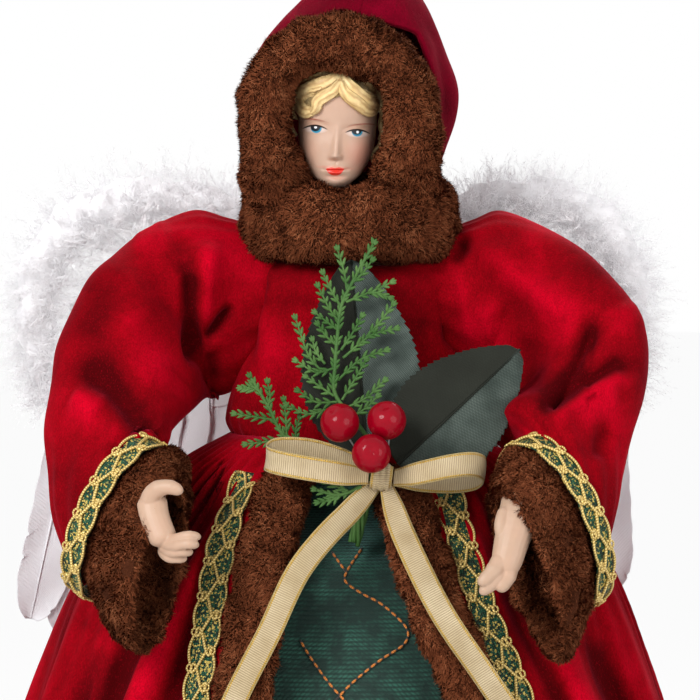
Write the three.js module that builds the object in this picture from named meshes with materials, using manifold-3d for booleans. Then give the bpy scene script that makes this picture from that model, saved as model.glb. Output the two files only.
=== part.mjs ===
// Angel tree topper: an oval card cone, a foam torso, resin head and hands, velvet and fur clothes,
// two arms that turn on a wire through the shoulders, and a pair of feathered wings.
// Millimetres, +Z up, front towards -Y. Left means -X, as seen from the front.
import * as THREE from 'three';
import { mergeVertices } from 'three/addons/utils/BufferGeometryUtils.js';
import Module from 'manifold-3d';

const wasm = await Module();
wasm.setup();

// Clearances and cuts
const clearance = 0.35;
const overrun = 6;

// Card cone that slips over the tree's top shoot
const coneHeight = 236;
const coneFootShare = 0.6525;
const coneTopRadius = 19;
const coneWall = 1.6;
const coneOvalShare = 1.25;

// Coat skirt, open at the front
const waistAboveCone = 21;
const hemHalfWidth = 141;
const waistEase = 2.3;
const skirtDepthShare = 0.75;
const velvetThickness = 1.6;
const hemLift = 1.5;
const coatFoldDepth = 4.2;
const pleatCount = 17;
const seamGap = 0.4;

// Underskirt, which shows in the coat's opening
const underskirtBelowCone = 0.5;
const underskirtHemShare = 0.905;
const underskirtTopHalfWidth = 29.3;
const underskirtThickness = 1.6;
const underskirtFoldDepth = 1.6;

// Fur trim and braid on the coat's front edges
const furBandWidth = 18;
const furBandThickness = 7.6;
const braidWidth = 8;
const braidThickness = 1.4;
const trimLift = 1.6;
const braidGap = 3;

// Torso and bodice
const bodiceLength = 53;
const waistHalfWidth = 34.6;
const waistHalfDepth = 25.6;
const bodiceThickness = 1.5;
const bodiceTuck = 5;
const torsoTuck = 7;
const torsoBond = 1;
const pegLength = 12;
const shoulderAboveWaist = 49;
const shoulderHalfSpan = 34.5;
const shoulderWireRadius = 1.2;
const shoulderWireY = 3;

// Arms and sleeves
const sleeveLength = 100;
const handReach = 100;
const armholeX = 31;
const armWireRadius = 1.2;
const wireStopRadius = 2.7;
const wireStopLength = 0.8;
const eyeGap = 1.5;

// Fur cuffs
const cuffFurThickness = 5;
const cuffStraight = 6.5;

// Collar, hood and head
const collarLift = 5;
const collarHeight = 26;
const collarHalfWidth = 34;
const collarHalfDepth = 31;
const collarFurThickness = 13.4;
const hoodHeight = 68.4;
const hoodHalfWidth = 33;
const hoodThickness = 1.6;
const hoodCentreY = 9;
const hoodFaceY = -10.5;
const brimDepth = 17;
const headHeight = 42;
const headX = -3.7;
const headY = -4.5;
const headLift = 15;
const headTilt = 0.1;
const headRoll = 0.096;
const neckRadius = 6.2;
const plateHalfWidth = 17;
const plateY = 1;

// Bow and spray
const ribbonWidth = 7.2;
const ribbonThickness = 0.6;
const knotWidth = 6.4;
const bowX = 9.3;
const bowStandoff = 7.9;
const bowDrop = 9.4;
const berryRadius = 5.75;
const berryWireRadius = 0.6;
const leafThickness = 0.6;
const leafLength = 61;
const leafWidth = 38;
const sprigRadius = 1;
const mainBranchLength = 17;
const leftBranchLength = 12;
const lowerBranchLength = 5;
const bundleRadius = 2.2;

// Wings
const wingSpan = 100;
const wingLean = 0.36;
const wingSweep = 0.08;
const wingBackY = 34;
const boardThickness = 1.5;
const boardRootX = 8;
const blockHalfWidth = 14;
const blockHeight = 32;
const blockLift = 4;
const quillCount = 8;
const quillLength = 92;
const quillWidth = 17;
const quillThickness = 0.8;
const quillPitch = 1;
const glueHalfHeight = 3;
const downRadius = 11.5;
const downSetBack = 6;

// Levels and places worked out from the sizes above
const coneFootRadius = hemHalfWidth * coneFootShare;
const underskirtHeight = coneHeight - underskirtBelowCone;
const waistZ = coneHeight + waistAboveCone;
const shoulderZ = waistZ + shoulderAboveWaist;
const collarZ = shoulderZ + collarLift;
const collarTopZ = collarZ + collarHeight;
const sides = [
  { name: 'left', sign: -1 },
  { name: 'right', sign: 1 },
];

// General helpers

const at = (x, y, z) => new THREE.Vector3(x, y, z);

function closedGeometry(points, faces) {
  let volume = 0;
  for (const [a, b, c] of faces) volume += points[a].dot(at(0, 0, 0).crossVectors(points[b], points[c]));
  const outward = volume < 0 ? faces.map(([a, b, c]) => [a, c, b]) : faces;
  const geometry = new THREE.BufferGeometry();
  geometry.setAttribute('position', new THREE.Float32BufferAttribute(points.flatMap((p) => p.toArray()), 3));
  geometry.setIndex(outward.flat());
  geometry.computeVertexNormals();
  return geometry;
}

// A loft through closed sections. The ends are closed by a fan, by a strip across a folded
// section, or by joining the last section to the first.
function loft(rings, ends = 'fan') {
  const count = rings[0].length;
  const points = rings.flat();
  const faces = [];
  const spans = ends === 'joined' ? rings.length : rings.length - 1;
  for (let i = 0; i < spans; i++) {
    const low = i * count;
    const high = ((i + 1) % rings.length) * count;
    for (let j = 0; j < count; j++) {
      const next = (j + 1) % count;
      faces.push([low + j, low + next, high + next], [low + j, high + next, high + j]);
    }
  }
  const last = (rings.length - 1) * count;
  if (ends === 'strip') {
    for (let j = 0; j + 1 < count / 2; j++) {
      const far = count - 1 - j;
      faces.push([j, far, far - 1], [j, far - 1, j + 1]);
      faces.push([last + j, last + far - 1, last + far], [last + j, last + j + 1, last + far - 1]);
    }
  }
  if (ends === 'fan') {
    for (const [start, ring] of [[0, rings[0]], [last, rings[rings.length - 1]]]) {
      const hub = points.length;
      points.push(ring.reduce((sum, p) => sum.add(p), at(0, 0, 0)).divideScalar(count));
      for (let j = 0; j < count; j++) {
        const next = (j + 1) % count;
        faces.push(start === 0 ? [hub, next, j] : [hub, start + j, start + next]);
      }
    }
  }
  return closedGeometry(points, faces);
}

// A sheet with a front and a back, both given as rows of points
const sheet = (front, back) => loft(front.map((row, i) => [...row, ...back[i].toReversed()]), 'strip');

// A closed section: centre, half axis a and half axis b
function ellipse(centre, a, b, count, share = () => 1) {
  return Array.from({ length: count }, (_, j) => {
    const turn = (2 * Math.PI * j) / count;
    return centre.clone()
      .addScaledVector(a, Math.cos(turn) * share(turn))
      .addScaledVector(b, Math.sin(turn) * share(turn));
  });
}

// A tube along points, with a radius for each share of its length; flat squeezes it one way
function taperTube(points, radius, count = 8, steps = 8, flat = 1) {
  const curve = new THREE.CatmullRomCurve3(points);
  const frames = curve.computeFrenetFrames(steps, false);
  const rings = [];
  for (let i = 0; i <= steps; i++) {
    const r = radius(i / steps);
    const b = frames.binormals[i].clone().multiplyScalar(r * flat);
    rings.push(ellipse(curve.getPointAt(i / steps), frames.normals[i].clone().multiplyScalar(r), b, count));
  }
  return loft(rings);
}

function revolve(profile, count) {
  return new THREE.LatheGeometry(profile.map(([r, h]) => new THREE.Vector2(r, h)), count).rotateX(Math.PI / 2);
}

function solid(geometry) {
  const bare = geometry.clone();
  for (const name of ['normal', 'uv']) bare.deleteAttribute(name);
  const merged = mergeVertices(bare);
  return new wasm.Manifold(new wasm.Mesh({
    numProp: 3,
    vertProperties: new Float32Array(merged.attributes.position.array),
    triVerts: new Uint32Array(merged.index.array),
  }));
}

function geometryOf(body) {
  const mesh = body.getMesh();
  const geometry = new THREE.BufferGeometry();
  geometry.setAttribute('position', new THREE.BufferAttribute(new Float32Array(mesh.vertProperties), 3));
  geometry.setIndex(new THREE.BufferAttribute(new Uint32Array(mesh.triVerts), 1));
  geometry.computeVertexNormals();
  return geometry;
}

const joined = (geometries) => geometryOf(geometries.map(solid).reduce((sum, next) => sum.add(next)));
const cut = (geometry, tools) => geometryOf(tools.map(solid).reduce((rest, tool) => rest.subtract(tool), solid(geometry)));

// A smooth value between rows of [position share, value share]
function along(rows, share) {
  const k = Math.max(0, rows.findLastIndex((row) => row[0] <= share));
  const [low, high] = [rows[k], rows[Math.min(k + 1, rows.length - 1)]];
  const t = high === low ? 0 : (share - low[0]) / (high[0] - low[0]);
  return low[1] + (high[1] - low[1]) * Math.min(1, t);
}

const eased = (t) => THREE.MathUtils.smoothstep(t, 0, 1);

const group = new THREE.Group();

function add(name, geometry, color, roughness, metalness = 0) {
  const mesh = new THREE.Mesh(geometry, new THREE.MeshStandardMaterial({ color, roughness, metalness }));
  mesh.name = name;
  group.add(mesh);
}

const velvet = 0xb4051c;
const fur = 0x5a2d19;
const resin = 0xe8c8af;
const gold = 0xc8a028;
const steel = 0x9a9ca0;
const white = 0xebe8f0;
const leafGreen = 0x32463c;
const sprigGreen = 0x3c7a3a;
const ribbonGold = 0xdcc896;
const berryRed = 0xbe0a23;

// Card cone

function ovalCone() {
  const inner = (radius) => radius - coneWall;
  const cone = revolve([
    [coneFootRadius, 0],
    [coneTopRadius, coneHeight],
    [inner(coneTopRadius), coneHeight],
    [inner(coneFootRadius), 0],
    [coneFootRadius, 0],
  ], 32);
  return cone.scale(coneOvalShare, 1, 1);
}

add('base_cone', ovalCone(), 0xc9b48c, 0.85);

// Coat skirt: a gathered bell that is open at the front

// Shares of the waist's height, and of the way from the waist's half width to the hem's
const bellShares = [
  [0, 1], [0.2, 0.892], [0.39, 0.772], [0.56, 0.664], [0.72, 0.549],
  [0.821, 0.453], [0.868, 0.388], [0.934, 0.236], [0.98, 0.092], [1, 0],
];
const skirtWaistHalfWidth = waistHalfWidth + waistEase;
const skirtHalfWidth = (share) => skirtWaistHalfWidth + (hemHalfWidth - skirtWaistHalfWidth) * along(bellShares, share);
const leftEdgeShares = [[0, -0.567], [0.7, -0.316], [1, -0.3]];
const rightEdgeShares = [[0, 0.65], [0.73, 0.355], [0.81, 0.28], [0.92, 0.23], [1, 0.22]];

const edgeAngle = (sign, z) => Math.asin(along(sign < 0 ? leftEdgeShares : rightEdgeShares, z / waistZ));

// Depth of the folds: none at the waist seam and at the trimmed front edges
function foldDepth(angle, z) {
  const fall = eased((waistZ - z) / (waistZ / 2));
  const sign = angle < 0 ? -1 : 1;
  const fromEdge = Math.abs(angle - edgeAngle(sign, z));
  return coatFoldDepth * fall * eased(fromEdge / 0.5);
}

function coatPoint(angle, z, outward = 0) {
  const radius = skirtHalfWidth(z / waistZ);
  const fold = foldDepth(angle, z) * (Math.cos(angle * pleatCount) + 0.35 * Math.cos(angle * pleatCount * 2 + 1));
  const x = (radius + fold + outward) * Math.sin(angle);
  return at(x, -(radius * skirtDepthShare + fold + outward) * Math.cos(angle), z);
}

const coatRows = [...bellShares.map(([share]) => share), 0.1].sort((a, b) => a - b);

function coatGore(from, to, columns) {
  const layer = (outward) => coatRows.map((share) => Array.from({ length: columns + 1 }, (_, j) => {
    const z = hemLift + (waistZ - hemLift) * share;
    const gap = seamGap / hemHalfWidth;
    const start = from(z) + gap;
    return coatPoint(start + ((to(z) - gap - start) * j) / columns, z, outward);
  }));
  return sheet(layer(0), layer(-velvetThickness));
}

const backSeam = (2 * Math.PI) / 3;
const sideColumns = 22;
const backColumns = 24;
add('skirt_left', coatGore(() => -backSeam, (z) => edgeAngle(-1, z), sideColumns), velvet, 0.8);
add('skirt_right', coatGore((z) => edgeAngle(1, z), () => backSeam, sideColumns), velvet, 0.8);
add('skirt_back', coatGore(() => backSeam, () => 2 * Math.PI - backSeam, backColumns), velvet, 0.8);

// Underskirt: a closed bell over the cone, under the coat

const petticoatShares = [[0, 1], [0.25, 0.864], [0.5, 0.701], [0.7, 0.552], [0.86, 0.409], [0.94, 0.286], [1, 0]];

function underskirt() {
  const count = 30;
  const ring = (share, inward) => Array.from({ length: count }, (_, j) => {
    const turn = (2 * Math.PI * j) / count;
    const reach = hemHalfWidth * underskirtHemShare - underskirtTopHalfWidth;
    const radius = underskirtTopHalfWidth + reach * along(petticoatShares, share);
    const fold = underskirtFoldDepth * (1 - share) * Math.cos(turn * 9);
    const x = (radius + fold - inward) * Math.sin(turn);
    const y = -(radius * skirtDepthShare + fold - inward) * Math.cos(turn);
    return at(x, y, hemLift + (underskirtHeight - hemLift) * share);
  });
  const outer = petticoatShares.map(([share]) => ring(share, 0));
  const inner = petticoatShares.map(([share]) => ring(share, underskirtThickness));
  return loft([...outer, ...inner.toReversed()], 'joined');
}

add('underskirt', underskirt(), 0x1e5546, 0.75);

// Trim along the coat's front edges: fur on the edge, braid beside it

// Small steps either side of a point, which give the coat's slope there
const probeAngle = 0.05;
const probeHeight = 1;

function trimStrip(sign, beside, width, thickness, lift, corners) {
  const rows = coatRows.filter((share) => share < 0.97);
  const rings = rows.map((share) => {
    const z = 2 * hemLift + (waistZ - hemLift) * share;
    const radius = skirtHalfWidth(z / waistZ);
    const centre = edgeAngle(sign, z) + (sign * beside) / radius;
    const here = coatPoint(centre, z, lift + thickness / 2);
    const across = coatPoint(centre + probeAngle, z, lift).sub(coatPoint(centre - probeAngle, z, lift)).normalize();
    const up = coatPoint(centre, z + probeHeight, lift).sub(coatPoint(centre, z - probeHeight, lift)).normalize();
    const out = at(0, 0, 0).crossVectors(across, up).normalize();
    return ellipse(here, across.multiplyScalar(width / 2), out.multiplyScalar(thickness / 2), corners,
      (turn) => 1 / Math.max(Math.abs(Math.cos(turn)), Math.abs(Math.sin(turn))) ** (corners > 8 ? 0.35 : 0.8));
  });
  return loft(rings);
}

for (const { name, sign } of sides) {
  add(`${name}_fur_band`, trimStrip(sign, 1, furBandWidth, furBandThickness, trimLift, 10), fur, 0.95);
  const beside = furBandWidth / 2 + braidWidth / 2 + braidGap;
  add(`${name}_coat_braid`, trimStrip(sign, beside, braidWidth, braidThickness, trimLift / 2, 8), gold, 0.5);
}

// Torso form, shoulder wire and bodice

const torsoShares = [[0, 1], [0.15, 0.985], [0.45, 0.93], [0.75, 0.88], [0.92, 0.86], [1, 0.74]];

function torsoRings(inward, foot, head, count) {
  return torsoShares.map(([share, width]) => {
    const z = foot + (head - foot) * share;
    const a = at(waistHalfWidth * width - inward, 0, 0);
    return ellipse(at(0, 0, z), a, at(0, waistHalfDepth * width - inward, 0), count);
  });
}

function wireBore(radius, length) {
  return revolve([[0, -length / 2], [radius, -length / 2], [radius, length / 2], [0, length / 2]], 10)
    .rotateY(Math.PI / 2)
    .translate(0, shoulderWireY, shoulderZ);
}

const torsoFootZ = coneHeight + clearance;
const bodiceTopZ = waistZ + bodiceLength;
const torsoTopZ = bodiceTopZ - bodiceThickness;

function torsoForm() {
  const inside = bodiceThickness + clearance;
  const body = loft(torsoRings(inside, waistZ - torsoTuck, torsoTopZ, 24));
  const stayHeight = waistZ - torsoTuck + torsoBond - torsoFootZ;
  const skirtStay = loft([0, 1].map((share) => {
    const reach = coneTopRadius + (waistHalfDepth - inside - coneTopRadius) * share;
    return ellipse(at(0, 0, torsoFootZ + stayHeight * share), at(reach, 0, 0), at(0, reach, 0), 24);
  }));
  const pegRadius = coneTopRadius - coneWall - clearance;
  const peg = loft([0, 1].map((share) => ellipse(
    at(0, 0, torsoFootZ - pegLength + (pegLength + 2 * torsoBond) * share), at(pegRadius * coneOvalShare, 0, 0), at(0, pegRadius, 0), 24)));
  return cut(joined([body, skirtStay, peg]), [wireBore(shoulderWireRadius + clearance, 4 * waistHalfWidth)]);
}

add('torso_form', torsoForm(), 0xefe9dc, 0.9);

function bodice() {
  const outer = torsoRings(0, waistZ - bodiceTuck, bodiceTopZ, 24);
  const inner = torsoRings(bodiceThickness, waistZ - bodiceTuck, bodiceTopZ, 24);
  const shell = loft([...outer, ...inner.toReversed()], 'joined');
  return cut(shell, [wireBore(2 * wireStopRadius, 4 * waistHalfWidth)]);
}

add('bodice', bodice(), velvet, 0.8);

// The wire runs through the torso; a bead inside and a stop outside hold each arm's eye

const eyeRadius = shoulderWireRadius + clearance + armWireRadius;
const eyeX = shoulderHalfSpan + eyeGap;
const eyeRoom = armWireRadius + clearance;

function shoulderWire() {
  const bead = (x) => [
    [shoulderWireRadius, x],
    [wireStopRadius, x],
    [wireStopRadius, x + wireStopLength],
    [shoulderWireRadius, x + wireStopLength],
  ];
  const rightEnd = [...bead(eyeX - eyeRoom - wireStopLength), ...bead(eyeX + eyeRoom)];
  const leftEnd = rightEnd.map(([r, x]) => [r, -x]).toReversed();
  const tip = eyeX + eyeRoom + wireStopLength;
  return revolve([[0, -tip], ...leftEnd.slice(1), ...rightEnd.slice(0, -1), [0, tip]], 8)
    .rotateY(Math.PI / 2)
    .translate(0, shoulderWireY, shoulderZ);
}

add('shoulder_wire', shoulderWire(), steel, 0.35, 1);

// Arms: out, forward and down from the armhole, as shares of the sleeve's length.
// Each sleeve section has its centre, its half axis to the sleeve's outer line and its half axis forwards.

const armPoint = (sign, [out, forward, down]) => at(
  sign * (armholeX + out * sleeveLength), shoulderWireY - forward * sleeveLength, shoulderZ - down * sleeveLength);
const armVector = (sign, [out, forward, down]) => at(
  sign * out * sleeveLength, -forward * sleeveLength, -down * sleeveLength);

const arms = {
  left: {
    sleeveShares: [
      [[0.035, 0, 0], [0.035, 0, -0.165], [0, 0.15, 0]],
      [[0.15, 0.01, 0.01], [0.04, 0, -0.2], [0, 0.19, 0]],
      [[0.24, 0.04, 0.07], [0.13, 0.01, -0.175], [0.02, 0.19, -0.05]],
      [[0.32, 0.14, 0.16], [0.19, 0.01, -0.1], [0.02, 0.17, -0.12]],
      [[0.38, 0.25, 0.29], [0.21, 0, -0.05], [0.02, 0.14, -0.13]],
      [[0.41, 0.37, 0.42], [0.19, -0.02, 0.01], [0.03, 0.12, -0.12]],
      [[0.415, 0.49, 0.54], [0.17, -0.04, 0.08], [0.05, 0.11, -0.09]],
      [[0.4, 0.59, 0.69], [0.09, -0.03, 0.22], [0.09, 0.11, 0]],
    ],
    cuffShares: [
      [[0.31, 0.68, 0.765], [0.075, -0.02, 0.27], [0.085, 0.135, -0.01]],
      [[0.275, 0.73, 0.83], [0.05, -0.01, 0.27], [0.07, 0.145, -0.01]],
    ],
    wireShares: [[0.1, 0.02, 0.06], [0.22, 0.06, 0.1], [0.34, 0.2, 0.25], [0.39, 0.4, 0.46], [0.36, 0.52, 0.56], [0.27, 0.66, 0.62]],
    forearmShares: [[0.28, 0.645, 0.64], [0.25, 0.715, 0.65], [0.23, 0.775, 0.665]],
    palmRadiusShare: 0.046,
    palmShares: [[0.235, 0.755, 0.64], [0.235, 0.79, 0.7], [0.225, 0.825, 0.77]],
    fingerShares: [
      [[0.22, 0.84, 0.745], [0.175, 0.865, 0.755], [0.125, 0.87, 0.75]],
      [[0.225, 0.82, 0.765], [0.185, 0.845, 0.78], [0.13, 0.85, 0.775]],
      [[0.23, 0.8, 0.785], [0.2, 0.82, 0.805], [0.155, 0.825, 0.805]],
      [[0.24, 0.785, 0.79], [0.22, 0.795, 0.82], [0.18, 0.8, 0.83]],
    ],
    thumbShares: [[0.24, 0.77, 0.645], [0.215, 0.825, 0.625], [0.18, 0.84, 0.645]],
  },
  right: {
    sleeveShares: [
      [[0.035, 0, 0], [0.035, 0, -0.165], [0, 0.15, 0]],
      [[0.13, 0.01, 0.005], [0.04, 0, -0.195], [0, 0.19, 0]],
      [[0.22, 0.04, 0.05], [0.12, 0.01, -0.175], [0.02, 0.19, -0.05]],
      [[0.3, 0.14, 0.14], [0.18, 0.01, -0.12], [0.02, 0.17, -0.12]],
      [[0.38, 0.25, 0.25], [0.19, 0, -0.06], [0.02, 0.14, -0.13]],
      [[0.385, 0.37, 0.39], [0.175, -0.02, -0.01], [0.02, 0.12, -0.12]],
      [[0.36, 0.49, 0.52], [0.14, -0.04, 0.08], [0.03, 0.11, -0.09]],
      [[0.32, 0.59, 0.71], [0.08, -0.03, 0.24], [0.11, 0.11, 0]],
    ],
    cuffShares: [
      [[0.275, 0.67, 0.785], [0.085, -0.02, 0.27], [0.09, 0.13, -0.01]],
      [[0.24, 0.73, 0.85], [0.085, -0.01, 0.265], [0.07, 0.145, 0]],
    ],
    wireShares: [[0.1, 0.02, 0.06], [0.21, 0.06, 0.1], [0.33, 0.2, 0.23], [0.36, 0.4, 0.44], [0.3, 0.54, 0.57], [0.22, 0.655, 0.655]],
    forearmShares: [[0.23, 0.63, 0.65], [0.195, 0.7, 0.665], [0.16, 0.775, 0.7]],
    palmRadiusShare: 0.054,
    palmShares: [[0.15, 0.765, 0.665], [0.145, 0.815, 0.74], [0.145, 0.845, 0.84]],
    fingerShares: [
      [[0.135, 0.865, 0.84], [0.1, 0.885, 0.89], [0.075, 0.9, 0.925]],
      [[0.15, 0.86, 0.85], [0.115, 0.885, 0.91], [0.09, 0.89, 0.95]],
      [[0.165, 0.85, 0.85], [0.15, 0.87, 0.905], [0.13, 0.87, 0.94]],
      [[0.18, 0.835, 0.84], [0.175, 0.85, 0.885], [0.16, 0.855, 0.915]],
    ],
    thumbShares: [[0.14, 0.84, 0.72], [0.115, 0.88, 0.775], [0.095, 0.885, 0.825]],
  },
};

// A hand keeps its own size on any sleeve: its shares are of handReach, from where the forearm starts
const handShares = { forearm: 0.04, wrist: 0.044, finger: 0.015, fingertip: 0.0115, thumb: 0.018 };
const handSizes = Object.fromEntries(Object.entries(handShares).map(([name, share]) => [name, share * handReach]));

function handPoint(sign, arm, share) {
  const start = arm.forearmShares[0];
  const way = armVector(sign, share.map((value, k) => value - start[k]));
  return armPoint(sign, start).addScaledVector(way, handReach / sleeveLength);
}

function sectionCurves(sign, rows) {
  const curve = (k, place) => new THREE.CatmullRomCurve3(rows.map((row) => place(sign, row[k])));
  return [curve(0, armPoint), curve(1, armVector), curve(2, armVector)];
}

// Gathers at the armhole and the deep folds of the puff
function sleeveFold(turn, t) {
  const gathers = 0.035 * (1 - t) * Math.cos(turn * 9);
  const puff = 0.05 * Math.sin(Math.PI * t) * Math.cos(turn * 3 + 5 * t);
  return 1 + gathers + puff;
}

function sleeve(sign, rows) {
  const [centre, outer, front] = sectionCurves(sign, rows);
  const steps = 10;
  const ring = (t, inward) => {
    const a = outer.getPoint(t);
    const b = front.getPoint(t);
    const less = (v) => v.clone().setLength(v.length() - inward);
    return ellipse(centre.getPoint(t), less(a), less(b), 18, (turn) => sleeveFold(turn, t));
  };
  const shares = Array.from({ length: steps + 1 }, (_, i) => i / steps);
  return loft([...shares.map((t) => ring(t, 0)), ...shares.toReversed().map((t) => ring(t, velvetThickness))], 'joined');
}

function mouthSection(sign, rows) {
  const [centre, outer, front] = rows[rows.length - 1];
  const a = armVector(sign, outer);
  const b = armVector(sign, front);
  const axis = at(0, 0, 0).crossVectors(a, b).normalize();
  if (axis.y > 0) axis.negate();
  return { centre: armPoint(sign, centre), a, b, axis };
}

function cuff(sign, arm) {
  const mouth = mouthSection(sign, arm.sleeveShares);
  const straight = (far) => mouth.centre.clone().addScaledVector(mouth.axis, far);
  const sections = [
    [straight(clearance), mouth.a, mouth.b],
    [straight(cuffStraight), mouth.a, mouth.b],
    ...arm.cuffShares.map(([c, a, b]) => [armPoint(sign, c), armVector(sign, a), armVector(sign, b)]),
  ];
  const ring = ([c, a, b], inward) => {
    const less = (v) => v.clone().setLength(v.length() - inward);
    return ellipse(c, less(a), less(b), 20);
  };
  const rim = sections[sections.length - 1];
  const lip = [rim[0].clone().addScaledVector(mouth.axis, cuffFurThickness / 2), rim[1], rim[2]];
  const rings = [
    ...sections.map((s) => ring(s, 0)),
    ring(lip, cuffFurThickness / 2),
    ...sections.toReversed().map((s) => ring(s, cuffFurThickness)),
  ];
  return loft(rings, 'joined');
}

function cuffBraid(sign, arm) {
  const mouth = mouthSection(sign, arm.sleeveShares);
  const ring = (far, outward) => {
    const more = (v) => v.clone().setLength(v.length() + outward);
    return ellipse(mouth.centre.clone().addScaledVector(mouth.axis, far), more(mouth.a), more(mouth.b), 22);
  };
  const [low, high] = [clearance, cuffStraight - clearance];
  const [near, away] = [3 * clearance, 3 * clearance + braidThickness];
  return loft([ring(low, near), ring(high, near), ring(high, away), ring(low, away)], 'joined');
}

// The arm wire ends in an eye round the shoulder wire
function armWire(sign, arm) {
  const eye = new THREE.TorusGeometry(eyeRadius, armWireRadius, 6, 14)
    .rotateY(Math.PI / 2)
    .translate(sign * eyeX, shoulderWireY, shoulderZ);
  const start = at(sign * eyeX, shoulderWireY, shoulderZ - eyeRadius);
  const bend = start.clone().add(at(sign * eyeRadius / 2, 0, -eyeRadius));
  const free = arm.wireShares.slice(0, -1).map((share) => armPoint(sign, share));
  const path = [start, bend, ...free, handPoint(sign, arm, arm.wireShares.at(-1))];
  return joined([eye, taperTube(path, () => armWireRadius, 6, 12)]);
}

// A resin casting: forearm, palm, four fingers and a thumb, with a socket for the arm wire
function hand(sign, arm) {
  const trace = (rows) => rows.map((row) => handPoint(sign, arm, row));
  const rounded = (t, radius, tip) => (t > 0.93 ? tip * 0.55 : radius + (tip - radius) * t);
  const finger = (rows) => taperTube(trace(rows), (t) => rounded(t, handSizes.finger, handSizes.fingertip), 6, 4);
  const pieces = [
    taperTube(trace(arm.forearmShares), () => handSizes.forearm, 10, 3),
    taperTube(trace(arm.palmShares), (t) => handSizes.wrist + (arm.palmRadiusShare * handReach - handSizes.wrist) * t, 10, 5, 0.62),
    ...arm.fingerShares.map(finger),
    taperTube(trace(arm.thumbShares), (t) => rounded(t, handSizes.thumb, handSizes.fingertip), 6, 4),
  ];
  const path = [armPoint(sign, arm.wireShares.at(-2)), ...trace([arm.wireShares.at(-1), arm.forearmShares[1]])];
  return cut(joined(pieces), [taperTube(path, () => armWireRadius + clearance, 6, 6)]);
}

for (const { name, sign } of sides) {
  const arm = arms[name];
  add(`${name}_sleeve`, sleeve(sign, arm.sleeveShares), velvet, 0.8);
  add(`${name}_cuff`, cuff(sign, arm), fur, 0.95);
  add(`${name}_cuff_braid`, cuffBraid(sign, arm), gold, 0.5);
  add(`${name}_arm_wire`, armWire(sign, arm), steel, 0.35, 1);
  add(`${name}_hand`, hand(sign, arm), resin, 0.45);
}

// Fur collar: a soft ring round the neck, lower in front so that the chin shows

function furCollar() {
  const count = 26;
  const rings = Array.from({ length: count }, (_, i) => {
    const turn = (2 * Math.PI * i) / count;
    const outward = at(Math.sin(turn), -Math.cos(turn), 0);
    const half = collarFurThickness / 2;
    const ring = at(outward.x * (collarHalfWidth - half), outward.y * (collarHalfDepth - half), 0);
    const dip = 0.12 * (1 + Math.cos(turn)) * collarHeight;
    const low = collarZ - dip / 4;
    const high = collarTopZ - dip;
    ring.z = (low + high) / 2;
    return ellipse(ring, outward.multiplyScalar(half), at(0, 0, (high - low) / 2), 8,
      (section) => 1 / (Math.abs(Math.cos(section)) ** 3 + Math.abs(Math.sin(section)) ** 3) ** (1 / 3));
  });
  return loft(rings, 'joined');
}

add('fur_collar', furCollar(), fur, 0.95);

// Hood: pointed velvet shell, cut open for the face.
// Shares of the hood's height, its half width and its depth, with the sideways lean of the point.

const hoodShares = [
  [0, 0.93, 0.9, -0.02], [0.18, 0.98, 0.97, -0.01], [0.36, 1, 1, 0.006], [0.53, 0.9, 0.97, 0.012],
  [0.65, 0.77, 0.87, 0.055], [0.77, 0.59, 0.7, 0.127], [0.88, 0.38, 0.46, 0.18], [0.965, 0.16, 0.2, 0.21], [1, 0.04, 0.05, 0.215],
];
const hoodFootZ = collarTopZ + clearance;

function hood() {
  const ring = ([share, width, depth, lean], inward) => ellipse(
    at(lean * hoodHalfWidth, hoodCentreY, hoodFootZ + (hoodHeight - inward) * share),
    at(Math.max(hoodHalfWidth * width - inward, inward / 4), 0, 0),
    at(0, Math.max(hoodHalfWidth * depth - inward, inward / 4), 0), 22);
  const outer = loft(hoodShares.map((row) => ring(row, 0)));
  const inner = loft([
    ring([-overrun / hoodHeight, 0.93, 0.9, -0.02], hoodThickness),
    ...hoodShares.map((row) => ring(row, hoodThickness)),
  ]);
  const face = new THREE.BoxGeometry(3 * hoodHalfWidth, hoodHalfWidth, 2 * hoodHeight + overrun)
    .translate(0, hoodFaceY - hoodHalfWidth / 2, hoodFootZ + hoodHeight / 2);
  return cut(outer, [inner, face]);
}

add('hood', hood(), velvet, 0.8);

// Fur brim: a thick roll round the hood's face opening.
// Shares of the hood's half width and height, then half the roll's breadth.

const brimShares = [
  [-0.8, 0.02, 0.21], [-0.84, 0.18, 0.215], [-0.79, 0.37, 0.22], [-0.55, 0.545, 0.26], [-0.1, 0.61, 0.3],
  [0.33, 0.55, 0.29], [0.6, 0.39, 0.265], [0.66, 0.2, 0.25], [0.62, 0.02, 0.25],
];

function hoodFur() {
  const place = ([across, up]) => at(across * hoodHalfWidth, hoodFaceY - brimDepth / 2 - clearance, hoodFootZ + up * hoodHeight);
  const curve = new THREE.CatmullRomCurve3(brimShares.map(place));
  const steps = 20;
  const rings = Array.from({ length: steps + 1 }, (_, i) => {
    const t = i / steps;
    const breadth = along(brimShares.map((row, k) => [k / (brimShares.length - 1), row[2]]), t) * hoodHalfWidth;
    const forward = curve.getTangent(t);
    const outward = at(0, 0, 0).crossVectors(forward, at(0, 1, 0)).normalize();
    return ellipse(curve.getPoint(t), outward.multiplyScalar(breadth), at(0, brimDepth / 2, 0), 10,
      (section) => 1 / (Math.abs(Math.cos(section)) ** 2.6 + Math.abs(Math.sin(section)) ** 2.6) ** (1 / 2.6));
  });
  return loft(rings);
}

add('hood_fur', hoodFur(), fur, 0.95);

// Head: one casting with a sculpted face, moulded hair, neck and breast plate.
// The face is an ovoid with swellings, each with a place, a reach and a height in shares of the head's height.

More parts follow.
